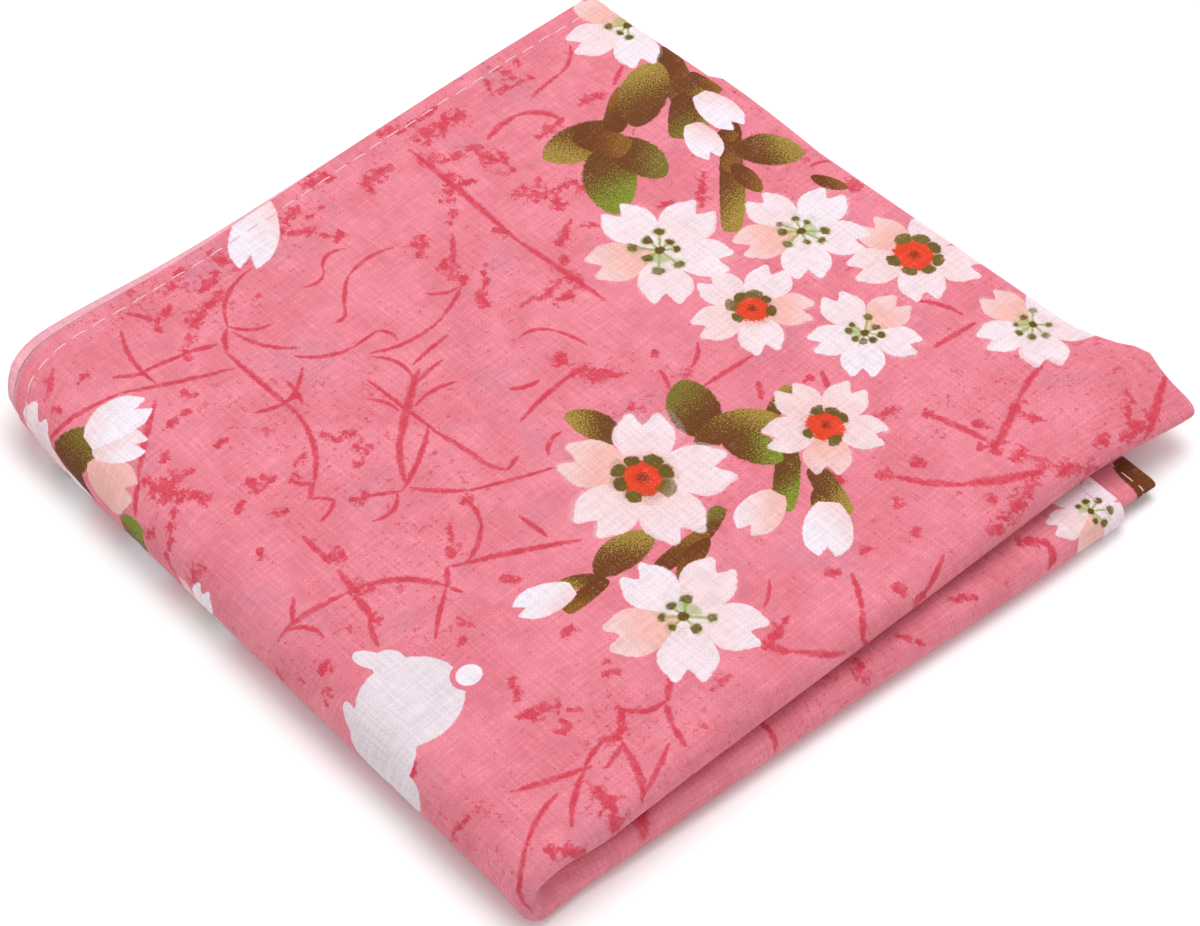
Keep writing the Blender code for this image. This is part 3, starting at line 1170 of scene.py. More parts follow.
    splashes: tuple[Stroke, ...] = drawn(
        Stroke,
        (156.5, 16.8, 161, 12.5, 0.8), (160.5, 12.3, 170, 9, 1.1), (161.5, 11.5, 163.5, 9.5, 0.6),
        (158, 7.8, 162.3, 6.8, 0.8), (158, 8, 157.5, 10.3, 0.6), (163, 4.5, 168, 1.5, 0.8),
        (166.5, 7.5, 171.5, 6, 1.0), (137, 6.5, 142, 5, 0.7), (142.3, 9.5, 146, 9, 0.6),
        (137, 8, 137.5, 10.3, 0.5), (161.6, 32.5, 164.6, 33, 0.6), (152, 45, 154.2, 44.6, 0.8),
        (138.3, 28.3, 138.5, 36.5, 1.9), (136.8, 34.4, 142.8, 31.3, 1.8), (140, 34.3, 142.6, 39.2, 1.2),
        (137.8, 36.3, 132.6, 39.8, 1.0), (133.5, 35.5, 131.3, 33.3, 0.8), (141.8, 32.4, 145, 33.2, 0.6),
        (132, 38.5, 128.5, 42, 0.7), (146.8, 42.2, 151.2, 42.8, 0.8), (148.2, 39.8, 149, 42.8, 1.0),
        (150.2, 40.8, 150.8, 43.3, 0.8), (142.9, 43.6, 145.6, 42.4, 0.9), (154.7, 43, 158, 42.4, 0.7),
        (161.4, 40.8, 162.4, 44.3, 0.5), (162.7, 43.4, 165.8, 44.6, 0.8), (163.6, 45.8, 164.1, 49, 1.0),
        (161.2, 48.4, 161.9, 50.2, 0.6), (146.2, 47.4, 149.2, 48.6, 0.7),
        (130.6, 46.6, 134.2, 45.9, 1.3), (140.2, 53, 142.2, 51.4, 0.8), (145.6, 24.6, 149.2, 23.9, 0.8),
        (149.3, 24, 151.2, 24.6, 0.6), (141.8, 29, 144, 27.6, 0.7), (149, 32, 151.6, 31.8, 0.6),
        (152.6, 20.4, 153, 23, 0.6), (147.2, 59.8, 149.6, 60.6, 1.4), (156, 53.7, 158.9, 55.1, 0.9),
        (195, 28.6, 198.5, 30.4, 1.6), (196.8, 29.8, 196, 34.2, 1.1), (194.6, 25.2, 198.4, 21.8, 1.4),
        (202.8, 23.5, 205.6, 21.1, 0.8), (194.5, 39.5, 197.3, 36.3, 1.0),
        (197.3, 36.5, 199.6, 35.3, 0.7), (199.1, 34.7, 201.3, 32.8, 0.5),
        (200.4, 31.9, 202.9, 33.7, 0.5), (198.3, 8.5, 205.3, 8, 1.4, 0.7),
        (208.1, 10.4, 211.6, 10.8, 1.2), (209.3, 14.7, 209.9, 18.5, 1.5), (205, 19.5, 209.3, 17.6, 1.2),
        (210.4, 17.8, 212.6, 19.5, 0.6), (206.8, 28.3, 208, 30.9, 0.9), (207.2, 42.8, 209.8, 45.4, 1.4),
        (201.6, 43.9, 208.3, 43, 0.8), (202.6, 46.1, 208.9, 46.3, 0.8), (198.8, 43, 202.3, 43.2, 0.4),
        (209.4, 41.2, 211.3, 39.3, 0.7), (211.7, 37.7, 215.3, 36.2, 1.0),
        (214.6, 35.9, 217.3, 34.8, 0.6), (217.1, 36.9, 219.6, 39, 0.5), (210.2, 12.4, 215.3, 13.1, 1.2),
        (215.3, 12.9, 218, 14.7, 1.1), (215.7, 15.8, 219.3, 18.8, 2.0), (216.1, 21.6, 218.4, 20.8, 0.8),
        (215.1, 24.3, 216, 28.9, 1.2), (215.2, 27.8, 223.3, 29, 1.0), (217.5, 28.3, 218.1, 32.8, 1.1),
        (217.8, 26.4, 220, 25.1, 0.9), (223.3, 29, 222.2, 32.3, 0.7), (194.2, 55.2, 197.4, 54.4, 1.3),
        (194.8, 57.4, 198.4, 59.8, 1.4), (196.3, 59.3, 199.8, 62.2, 1.0),
        (183.3, 6.3, 187.2, 10.2, 1.0), (184.8, 5.2, 189.3, 3.9, 0.8), (186.8, 9.8, 188.7, 13.4, 0.5),
        (187.7, 13.6, 190.3, 13.2, 0.9), (187.8, 7, 191.8, 6.8, 0.5), (191.8, 1.5, 196.8, 1.5, 1.3),
        (194.2, 2.4, 197.4, 3.3, 0.7), (207.6, 1.3, 210.8, 1.3, 1.1), (210, 3.2, 219, 2.9, 0.7),
        (171.2, 14.3, 173, 13.9, 0.6), (172.2, 1.8, 173.4, 5.8, 1.1), (211, 6.5, 221.6, 6.4, 2.0),
        (225.3, 18.6, 231.8, 18.2, 1.0), (227.1, 6.1, 230.8, 7.4, 0.7), (230, 7.3, 235.2, 7.8, 0.6),
        (231.6, 2.8, 232, 6.8, 0.9), (228.8, 3.2, 227.4, 6.2, 0.6), (236.4, 2.8, 234.1, 5.2, 0.6),
        (235.2, 17.4, 240.7, 18.5, 1.1), (228.6, 51.6, 234.2, 48.9, 0.5), (233.1, 46.5, 239, 41, 0.9),
        (227.8, 41.4, 231.2, 42.9, 0.6), (253, 56.8, 253.9, 60.3, 1.3), (145.2, 66.4, 148.8, 67.6, 1.2),
        (144.4, 71.3, 145.7, 73.3, 0.8), (166.8, 65.3, 169.3, 65.2, 1.0),
        (159.3, 71.7, 160.7, 69.7, 0.7), (161, 70.2, 163.6, 66.8, 0.5), (133.7, 73.4, 136.3, 73.8, 1.0),
        (130.8, 77.1, 133.3, 75.9, 0.7), (128.3, 66.4, 129.8, 67.6, 0.9),
        (152.2, 81.4, 154.8, 81.9, 0.7), (153.2, 79.8, 153.8, 83.3, 0.6),
        (149.8, 83.8, 151.8, 83.4, 0.7), (162.4, 78.7, 163.4, 81.8, 0.9),
        (151.8, 92.8, 149.7, 96.6, 0.7), (147.6, 97.8, 153.6, 100.9, 1.2, -0.3),
        (150, 104.4, 152.2, 103.2, 1.2), (153.3, 101.9, 155, 103.7, 0.6), (160.8, 92.6, 164, 91.9, 0.7),
        (160.5, 101, 163.3, 102.1, 0.8), (161.8, 99.8, 163.2, 100, 0.6),
        (131.1, 94.7, 133.8, 94.1, 0.7), (127.8, 103.9, 133.2, 105.4, 0.6),
        (153.8, 110.1, 157.2, 109.2, 1.1), (158.2, 106.1, 159.4, 108.7, 0.7),
        (148, 113.3, 146.5, 121.8, 1.5, -0.3), (136.3, 116.3, 141.2, 121.2, 1.2),
        (169.3, 112.9, 173.3, 112.4, 0.7), (179.3, 112.3, 181.8, 111.7, 1.0),
        (181, 112, 186.3, 110.7, 0.8), (194.8, 108.7, 197, 110, 0.8), (200.8, 109.8, 203.2, 109.4, 0.7),
        (200, 118.8, 201.2, 116.4, 1.2), (201.3, 121.5, 203.8, 120.6, 1.2),
        (208.8, 112.4, 210.6, 111.7, 0.9), (210.8, 107.7, 212.2, 105.6, 0.7),
        (205.8, 70.4, 208.8, 68.5, 0.7), (196.6, 68, 198, 70.8, 0.9), (196.2, 60.7, 198.8, 61.9, 1.0),
        (198, 61.5, 201.3, 63.4, 0.6), (205.8, 63.6, 207.5, 63.2, 0.7), (207.3, 98.4, 209.8, 97.6, 0.9),
        (213.1, 100.8, 215, 102.7, 1.2), (216.8, 119.1, 230.3, 115.7, 1.3, -0.6),
        (230, 115.4, 238.8, 121.4, 1.2), (225.8, 97.9, 228.2, 98.4, 0.6),
        (227.6, 106.8, 229.8, 110.3, 1.4), (236.2, 106.3, 237.6, 110.3, 0.7),
        (235.8, 105.4, 238.8, 105.9, 0.8), (228.8, 112.1, 232.3, 111.7, 1.3),
        (231.4, 112.8, 232.6, 115.8, 0.6), (230, 103.3, 231.7, 106.2, 0.7),
        (218, 103.8, 220.3, 103.2, 1.1), (220.8, 115, 222.6, 115, 0.8), (218.3, 82.1, 220.3, 81.9, 0.7),
        (220.8, 93.6, 224.6, 94.6, 0.8), (246, 116.7, 249.2, 112.8, 0.7),
        (239.3, 117.9, 242.3, 116.9, 0.9), (242.8, 118.9, 249.3, 117.4, 1.2),
        (18.5, 128, 14.5, 124.5, 1), (38, 126, 33, 123.5, 0.8), (60.5, 126, 63.5, 122.5, 1.4),
        (48, 122, 52, 126, 0.6),
    )
    leaves: tuple[Leaf, ...] = drawn(
        Leaf,
        (237, 25, 223, 22.7, 3.9, 0, Green.GOLD), (234, 27, 222.8, 38.6, 4.3, -0.8, Green.BRIGHT),
        (233.3, 26, 234.2, 38, 3.6, 0.4, Green.OLIVE), (231, 21.5, 234, 30, 3, 0, Green.BROWN, True),
        (235, 25.5, 243.8, 19.7, 2.1, 0, Green.BROWN, True),
        (238.3, 27, 251.5, 18.5, 3.9, 0.3, Green.GOLD),
        (254.5, 16.5, 247.3, 30, 2.6, 0, Green.BROWN, True),
        (251.5, 24, 250.5, 30.9, 2.7, 0, Green.GOLD, True),
        (253, 24, 253.6, 30.5, 1.2, 0, Green.BROWN, True),
        (249, 27, 241.5, 33.5, 2, 0, Green.OLIVE, True), (247.5, 29, 245.5, 35.8, 1.3, 0, Green.GOLD),
        (250, 36.5, 242, 44, 1.7, 0, Green.BROWN, True),
        (246, 40, 232.8, 53.3, 2, 0.3, Green.GOLD, True),
        (247.3, 36.5, 247.8, 39.5, 1.3, 0, Green.BROWN, True),
        (243.5, 43, 242.3, 50.3, 1.7, 0, Green.BROWN), (245.8, 40.8, 253, 49, 3.5, 0.5, Green.GOLD),
        (250.2, 53, 252.4, 58.7, 1.3, -0.2, Green.BROWN),
        (191.3, 72.5, 189.2, 63, 2.6, -0.5, Green.GOLD), (200.5, 80, 206, 69.8, 3.9, 0, Green.OLIVE),
        (198.8, 79.5, 211.3, 84.3, 2.8, 0.9, Green.GOLD),
        (210.3, 83.3, 216.5, 81.2, 1.3, 0, Green.GOLD, True),
        (202.5, 81, 205.6, 90.3, 2.9, 0.3, Green.BRIGHT),
        (207.8, 89.5, 199, 97, 1.9, 0, Green.BRIGHT, True),
        (208, 94, 204.8, 103.5, 1.9, 0, Green.GOLD, True), (205.5, 97, 202, 100.8, 1, 0, Green.GOLD),
        (171.7, 87.8, 183, 87.5, 2.9, 0.4, Green.GOLD), (172.3, 88.8, 166.5, 85.3, 1.3, 0, Green.GOLD),
        (172.5, 89.2, 164.4, 89.6, 1.3, 0, Green.BROWN, True),
        (178.5, 92.8, 188.5, 92.5, 1.5, 0, Green.BROWN, True),
        (186, 93, 193.2, 90.6, 1.4, 0, Green.OLIVE, True),
        (188, 93.5, 179.5, 96.2, 1.5, -0.3, Green.BROWN),
        (130.2, 10.2, 137.9, 18.6, 2.8, 0, Green.OLIVE, True),
        (126, 20, 132.3, 32.5, 2.3, 0, Green.BRIGHT),
        (511.6, 354, 511.6, 373, 3.2, 0, Green.BROWN, True),
    )
    buds: tuple[Bud, ...] = drawn(
        Bud,
        (185.5, -1, 175, 8.6, 3.9, 0.05), (168, 87.3, 159.5, 84.9, 2.8, 0.1),
        (200.8, 94, 192.3, 96, 3.3, 0.5), (204.8, 100, 197.5, 106.8, 3.6, 0.1),
        (245.3, 32.5, 242.4, 40.3, 2.8, 0.2), (250.9, 28.5, 250, 38, 3.1, 0.1),
        (133, 18.3, 135.8, 28.5, 3.5, 0.95), (136.6, 17.8, 142.3, 24.8, 3.0, 0.3),
        (136.6, 16.9, 147.5, 19.3, 3.3, 0),
    )
    blossoms: tuple[Blossom, ...] = drawn(
        Blossom,
        (222.3, 48.7, 11.7, 157, Centre.GREEN, 0.11), (240.5, 60.3, 10.5, 158, Centre.GREEN, 0.34),
        (223.6, 66.6, 9.5, -49, Centre.RED, 0.57), (249, 75.2, 10.2, 88, Centre.RED, 0.23),
        (231.8, 81.3, 8.9, 6, Centre.GREEN, 0.71), (251, 96.5, 8.8, 92, Centre.GREEN, 0.45),
        (188.8, 79.3, 13.0, 115, Centre.RED, 0.82), (214.8, 89.8, 9.2, 229, Centre.RED, 0.37),
        (175.6, 101.2, 11.3, 160, Centre.GREEN, 0.63), (254.2, 9.2, 10.4, 96, Centre.GREEN, 0.18),
        (127, 4, 9, 60, Centre.GREEN, 0.52), (125, 47.5, 7.5, 60, Centre.GREEN, 0.4),
        (4.7, 125, 8, 60, Centre.GREEN, 0.29),
    )
    beasts: tuple[Beast, ...] = (Beast(139.3, 86, 10.0, 0),)
    turned_middle: tuple[float, float] = (127.0, 60.0)
    keep_clear: tuple[float, float, float] = (12.0, 108.0, 130.0)

    def charts(self, motifs: Sequence[Union[Stroke, Leaf, Bud, Blossom, Beast]]) -> list[Chart]:
        """Charts motifs where they show most, and again half a turn round on the underside.

        Args:
            motifs: Motifs of one kind.

        Returns:
            Their charts, the ones that show most first.
        """
        first = [motif.chart() for motif in motifs]
        again = [
            chart.turned_round(self.turned_middle)
            for chart in first
            if self.keep_clear[0] + chart.size[1] < chart.start[1] < self.keep_clear[1]
            and chart.start[0] > self.keep_clear[2]
        ]
        return first + again


@dataclass
class PrintLayers:
    """Puts the motifs' charts on the corners of the faces that they cross.

    Attributes:
        mesh: The cloth's mesh.
        printed: For each face, whether it is on the printed side.
    """

    mesh: bpy.types.Mesh
    printed: Points
    corners: Points = field(init=False)
    places: Points = field(init=False)

    def __post_init__(self) -> None:
        """Reads the printed faces' corners and their places on the cloth."""
        starts = np.empty(len(self.mesh.polygons), dtype=np.int64)
        self.mesh.polygons.foreach_get("loop_start", starts)
        self.corners = starts[self.printed][:, None] + np.arange(4)
        places = np.empty(len(self.mesh.loops) * 2)
        self.mesh.uv_layers["cloth"].data.foreach_get("uv", places)
        self.places = places.reshape(-1, 2)[self.corners]

    def lay(self, name: str, layers: int, charts: Sequence[Chart]) -> int:
        """Lays the charts of one kind of motif into a few layers.

        Args:
            name: What the layers are called, before their number.
            layers: How many there are.
            charts: The charts.

        Returns:
            How many charts found no room.
        """
        values = np.empty((layers, len(self.mesh.loops), 3))
        values[:] = (-9.0, 9.0, 0.0)
        taken = np.zeros((layers, len(self.corners)), dtype=bool)
        left_over = 0
        for chart in charts:
            own = chart.read(self.places)
            inside = (own.max(axis=1) >= chart.low) & (own.min(axis=1) <= chart.high)
            faces = np.flatnonzero(inside.all(axis=1))
            free = [layer for layer in range(layers) if not taken[layer, faces].any()]
            if not free:
                left_over += 1
                continue
            taken[free[0], faces] = True
            corners = self.corners[faces].ravel()
            values[free[0], corners, :2] = own[faces].reshape(-1, 2)
            values[free[0], corners, 2] = chart.mark
        for layer in range(layers):
            kept = self.mesh.attributes.new(f"{name}_{layer}", "FLOAT_VECTOR", "CORNER")
            kept.data.foreach_set("vector", values[layer].ravel())
        return left_over

    def keep_side(self) -> None:
        """Keeps which faces are on the printed side."""
        kept = self.mesh.attributes.new("printed_side", "FLOAT", "FACE")
        kept.data.foreach_set("value", self.printed.astype(float))


Colour = tuple[float, float, float, float]


def ink(red: int, green: int, blue: int) -> Colour:
    """Turns a colour written as on a screen, 0 to 255, into light.

    Args:
        red: Red part.
        green: Green part.
        blue: Blue part.

    Returns:
        The colour that a shader reads.
    """

    def light(part: int) -> float:
        """One part as light."""
        share = part / 255
        return share / 12.92 if share <= 0.04045 else ((share + 0.055) / 1.055) ** 2.4

    return light(red), light(green), light(blue), 1.0


class Number:
    """A number that a material works out at every point, used like a plain one."""

    def __init__(self, net: "Net", socket: bpy.types.NodeSocket) -> None:
        """Keeps the net and the socket that gives the number."""
        self.net, self.socket = net, socket

    def __add__(self, other: "Value") -> "Number":
        """The sum of both."""
        return self.net.sum("ADD", self, other)

    def __sub__(self, other: "Value") -> "Number":
        """This one less the other."""
        return self.net.sum("SUBTRACT", self, other)

    def __rsub__(self, other: "Value") -> "Number":
        """The other less this one."""
        return self.net.sum("SUBTRACT", other, self)

    def __mul__(self, other: "Value") -> "Number":
        """Both multiplied."""
        return self.net.sum("MULTIPLY", self, other)

    def __pow__(self, other: "Value") -> "Number":
        """This one to a power."""
        return self.net.sum("POWER", self, other)

    def __abs__(self) -> "Number":
        """This one without its sign."""
        return self.net.sum("ABSOLUTE", self)

    def __gt__(self, other: "Value") -> "Number":
        """1 where this one is greater, else 0."""
        return self.net.sum("GREATER_THAN", self, other)

    def __lt__(self, other: "Value") -> "Number":
        """1 where this one is less, else 0."""
        return self.net.sum("LESS_THAN", self, other)

    __radd__, __rmul__ = __add__, __mul__


Value = Union[float, Colour, Number]


class Net:
    """Adds nodes to one material and joins them."""

    def __init__(self, name: str) -> None:
        """Makes a material with one surface shader."""
        self.material = bpy.data.materials.new(name)
        self.material.use_nodes = True
        self.tree = self.material.node_tree
        self.surface = self.tree.nodes["Principled BSDF"]

    def put(self, socket: bpy.types.NodeSocket, value: Value) -> None:
        """Joins a socket to a number, or sets it."""
        if isinstance(value, Number):
            self.tree.links.new(value.socket, socket)
        else:
            socket.default_value = value

    def node(self, kind: str, output: Union[int, str], *values: Value, **named: object) -> Number:
        """Adds a node, sets its inputs and says which output is read.

        Args:
            kind: The node's type, after "ShaderNode".
            output: The output that is read.
            values: Its first inputs.
            named: Its settings in small letters, and its other inputs with a capital.

        Returns:
            What the output gives.
        """
        made = self.tree.nodes.new(f"ShaderNode{kind}")
        for name, value in named.items():
            if name.islower():
                setattr(made, name, value)
        for socket, value in zip(made.inputs, values):
            self.put(socket, value)
        for name, value in named.items():
            if not name.islower():
                self.put(made.inputs[name], value)
        return Number(self, made.outputs[output])

    def sum(self, operation: str, *values: Value) -> Number:
        """Does a sum on one to three numbers."""
        return self.node("Math", 0, *values, operation=operation)

    def parts(self, vector: Value) -> tuple[Number, ...]:
        """Splits a vector into its three numbers."""
        made = self.node("SeparateXYZ", 0, vector)
        return tuple(Number(self, socket) for socket in made.socket.node.outputs)

    def join(self, x: Value, y: Value, z: Value = 0.0) -> Number:
        """Joins three numbers into a vector."""
        return self.node("CombineXYZ", 0, x, y, z)

    def ramp(
        self, value: Value, start: Value, end: Value, low: Value = 0.0, high: Value = 1.0
    ) -> Number:
        """Goes softly from low to high as a value goes from start to end."""
        soft = "SMOOTHSTEP"
        return self.node("MapRange", 0, value, start, end, low, high, interpolation_type=soft)

    def curve(self, value: Value, points: Sequence[tuple[float, float]]) -> Number:
        """Reads a value on a smooth curve through points."""
        made = self.node("FloatCurve", 0, Value=value)
        line = made.socket.node.mapping.curves[0]
        line.points[0].location = points[0]
        line.points[1].location = points[-1]
        for place in points[1:-1]:
            line.points.new(*place)
        made.socket.node.mapping.update()
        return made

    def noise(self, place: Value, scale: float, detail: float, roughness: float) -> Number:
        """Reads flat noise, about 0.5 on average."""
        sizes = {"Scale": scale, "Detail": detail, "Roughness": roughness}
        return self.node("TexNoise", 0, Vector=place, noise_dimensions="2D", **sizes)

    def luck(self, number: Value) -> Number:
        """Reads a steady random number for a number."""
        return self.node("TexWhiteNoise", "Value", W=number, noise_dimensions="1D")

    def mix(self, share: Value, below: Value, above: Value) -> Number:
        """Lays one colour over another."""
        made = self.node("Mix", 2, share, data_type="RGBA")
        self.put(made.socket.node.inputs[6], below)
        self.put(made.socket.node.inputs[7], above)
        return made

    def kept(self, name: str) -> Number:
        """Reads an attribute of the piece."""
        return self.node("Attribute", "Vector", attribute_name=name)

    def finish(self, colour: Value, height: Value, depth: float, rough: float) -> None:
        """Joins a colour and a bump to the surface.

        Args:
            colour: The surface's colour.
            height: The bump's height, as a share of its depth.
            depth: How deep the bump goes.
            rough: The surface's roughness.
        """
        bump = self.node("Bump", "Normal", Strength=0.6, Distance=depth, Height=height)
        self.put(self.surface.inputs["Base Color"], colour)
        self.put(self.surface.inputs["Normal"], bump)
        self.put(self.surface.inputs["Roughness"], rough)
        self.put(self.surface.inputs["Specular IOR Level"], 0.25)
        self.put(self.surface.inputs["Sheen Weight"], 0.08)


@dataclass(frozen=True)
class Dyes:
    """The print's colours.

    Attributes:
        pink: The ground.
        deep_pink: The ground where it is a little fuller.
        smudge: Greyer places of the ground.
        scratch: Strokes and splashes.
        petal: White of the petals.
        peach: Tint of the petals.
        bark: Brown of leaves and twigs.
        stipple: Lighter dots on the brown.
        gold: Yellow-brown leaf tips.
        olive: Olive leaf tips.
        bright: Green leaf tips.
        stalk: Green of the stamens.
        dot: Dark ends of the stamens.
        ember: Orange-red middles.
        ember_deep: Their darker middles.
        beast: White of the animal shape.
        thread_pale: Undyed thread that shows through.
    """

    pink: Colour = ink(221, 127, 142)
    deep_pink: Colour = ink(213, 115, 130)
    smudge: Colour = ink(196, 122, 140)
    scratch: Colour = ink(198, 56, 76)
    petal: Colour = ink(228, 217, 226)
    peach: Colour = ink(226, 172, 164)
    bark: Colour = ink(100, 48, 8)
    stipple: Colour = ink(136, 88, 26)
    gold: Colour = ink(162, 136, 56)
    olive: Colour = ink(120, 108, 36)
    bright: Colour = ink(126, 142, 40)
    stalk: Colour = ink(148, 164, 84)
    dot: Colour = ink(92, 70, 14)
    ember: Colour = ink(214, 60, 28)
    ember_deep: Colour = ink(132, 44, 14)
    beast: Colour = ink(218, 205, 212)
    thread_pale: Colour = ink(236, 190, 200)


@dataclass
class PrintedCotton:
    """The printed cotton's finish.

    Attributes:
        layers: How many layers each kind of motif has.
        petal_edge: A petal's reach from its middle line to its side.
        pitch: Distance from thread to thread.
        dyes: The colours.
    """

    layers: dict[str, int]
    petal_edge: tuple[tuple[float, float], ...] = (
        (0.0, 0.80), (0.10, 0.86), (0.22, 0.98), (0.30, 0.99),
        (0.46, 0.91), (0.64, 0.84), (0.82, 0.74), (1.0, 0.57),
    )
    pitch: float = 0.00041
    dyes: Dyes = Dyes()
    net: Net = field(init=False)
    place: Number = field(init=False)
    ragged: Number = field(init=False)
    torn: Number = field(init=False)
    grain: Number = field(init=False)

    def __post_init__(self) -> None:
        """Starts the material and reads the place on the cloth."""
        self.net = Net("printed_cotton")
        self.place = self.net.node("UVMap", "UV", uv_map="cloth")
        self.ragged = self.net.noise(self.place, 1100.0, 3.0, 0.7) - 0.5
        self.torn = self.net.noise(self.place, 620.0, 5.0, 0.75) - 0.5
        self.grain = self.net.noise(self.place, 3800.0, 1.0, 0.6) - 0.5

    def chart(self, kind: str, layer: int) -> tuple[Number, ...]:
        """Reads the place in a motif of one layer and the motif's mark."""
        return self.net.parts(self.net.kept(f"{kind}_{layer}"))

    @staticmethod
    def arc(x: Number, y: Number, bend: Value) -> Number:
        """Distance from the middle line of a motif that is bent along its run."""
        return y - x * (1.0 - x) * 4.0 * bend

    def swelling(self, x: Number, power: Value) -> Number:
        """Half width along a run, 0 at its ends and 1 in its middle."""
        return self.net.sum("MAXIMUM", x * (1.0 - x) * 4.0, 0.0) ** power

    def ground(self) -> Number:
        """Pink ground with its clouds, smudges, splatters and specks."""
        net, dyes, place = self.net, self.dyes, self.place
        cloudy = net.ramp(net.noise(place, 90.0, 3.0, 0.6), 0.35, 0.65)
        colour = net.mix(cloudy, dyes.pink, dyes.deep_pink)
        grey = net.ramp(net.noise(place, 62.0, 2.0, 0.5), 0.60, 0.72, 0.0, 0.38)
        colour = net.mix(grey, colour, dyes.smudge)
        down = net.parts(place)[1]
        crowd = net.ramp(net.noise(place, 34.0, 1.5, 0.5), 0.40, 0.64, -0.06, 0.035)
        crowd = crowd + net.ramp(down, -0.012, -0.003, 0.0, 0.045)
        splatter = net.noise(place, 330.0, 6.0, 0.74) + crowd
        colour = net.mix(net.ramp(splatter, 0.645, 0.69, 0.0, 0.62), colour, dyes.scratch)
        specks = net.noise(place, 1000.0, 2.0, 0.6) + crowd * 0.8
        return net.mix(net.ramp(specks, 0.66, 0.73, 0.0, 0.50), colour, dyes.scratch)

    def strokes(
        self, colour: Value, kind: str, blunt: tuple[float, float], rough: Number, soft: float
    ) -> Number:
        """Lays strokes or splashes over the ground.

        Args:
            colour: What lies under them.
            kind: Name of their charts.
            blunt: How soon they swell from their ends, less for sooner, and to how much.
            rough: Noise that tears their edges.
            soft: Width of their soft edge.

        Returns:
            The colour with the strokes on it.
        """
        net, total = self.net, 0.0
        for layer in range(self.layers[kind]):
            x, y, bend = self.chart(kind, layer)
            reach = self.swelling(x, blunt[0]) * blunt[1] - abs(self.arc(x, y, bend)) + rough
            mask = net.ramp(reach, -0.4 * soft, 0.6 * soft) * (abs(x - 0.5) < 0.5)
            total = net.sum("MAXIMUM", mask, total)
        # Here the mask is real wear: noise that thins the strokes.
        wear_and_ply_shade = net.ramp(net.noise(self.place, 420.0, 4.0, 0.7), 0.25, 0.60, 0.64, 0.96)
        return net.mix(total * wear_and_ply_shade, colour, self.dyes.scratch)

    def leaves(self, colour: Value) -> Value:
        """Lays the leaves and twigs, brown with a dabbed lighter tip."""
        net, dyes = self.net, self.dyes
        for layer in range(self.layers["leaf"]):
            x, y, mark = self.chart("leaf", layer)
            kind = net.sum("FLOOR", mark)
            y = self.arc(x, y, (mark - kind - 0.5) * BEND_SCALE)
            twig = kind > 3.5
            green = kind - twig * 4.0
            reach = self.swelling(x, 0.62 - twig * 0.42) - abs(y) + self.ragged * 0.22
            tip: Value = dyes.stipple
            for step, dye in enumerate((dyes.gold, dyes.olive, dyes.bright)):
                tip = net.mix(green > step + 0.5, tip, dye)
            lit = net.ramp(x, 0.1, 1.0) + y * 0.32 + self.grain * 2.2
            tone = net.mix(net.ramp(lit, 0.28, 1.05, 0.04, 0.92), dyes.bark, tip)
            colour = net.mix(net.ramp(reach, -0.05, 0.06), colour, tone)
        return colour

    def buds(self, colour: Value) -> Value:
        """Lays the closed blossoms."""
        net, dyes = self.net, self.dyes
        for layer in range(self.layers["bud"]):
            x, y, peach = self.chart("bud", layer)
            outline = net.curve(
                x,
                ((0.0, 0.40), (0.2, 0.76), (0.5, 0.98), (0.75, 0.92), (0.9, 0.66), (1.0, 0.36)),
            )
            cleft = abs(y) * 0.62 + 0.82 - x
            reach = net.sum("MINIMUM", outline - abs(y), cleft) + self.ragged * 0.12
            mask = net.ramp(reach, -0.03, 0.05) * (abs(x - 0.5) < 0.5)
            warm = net.ramp(peach - x * 0.5 + y * 0.25, -0.35, 0.65)
            colour = net.mix(mask, colour, net.mix(warm, dyes.petal, dyes.peach))
        return colour

    def blossoms(self, colour: Value) -> Value:
        """Lays the open blossoms with their middles."""
        net, dyes = self.net, self.dyes
        for layer in range(self.layers["blossom"]):
            x, y, mark = self.chart("blossom", layer)
            red = net.sum("FLOOR", mark)
            seed = mark - red
            radius = net.sum("SQRT", x * x + y * y)
            turn = net.sum("ARCTAN2", y, x) * (1 / math.tau)
            fifth = turn * 5.0 + 0.5
            number = net.sum("FLOORED_MODULO", net.sum("FLOOR", fifth), 5.0)
            luck = net.luck(number + seed * 37.0)
            chance = net.luck(number + seed * 71.0 + 0.5)
            off = net.sum("FRACT", fifth) - 0.5 + (luck - 0.5) * 0.10
            outline = net.curve(
                abs(off) * 2.0,
                self.petal_edge,
            )
            grown = 0.95 + luck * 0.09 + off * (chance - 0.5) * 0.30
            reach = outline * grown - radius + self.ragged * 0.06
            tint = net.sum("MAXIMUM", number < 0.5, chance * 0.45 + red * 0.25)
            tint = tint * net.ramp(radius, 0.98, 0.45, 0.62, 1.0)
            near = net.ramp(radius, 0.62, 0.25) * red * 0.85
            tone = net.mix(net.sum("MAXIMUM", tint, near), dyes.petal, dyes.peach)
            tone = self.stamens(tone, radius, turn, red, seed)
            colour = net.mix(net.ramp(reach, -0.012, 0.02), colour, tone)
        return colour

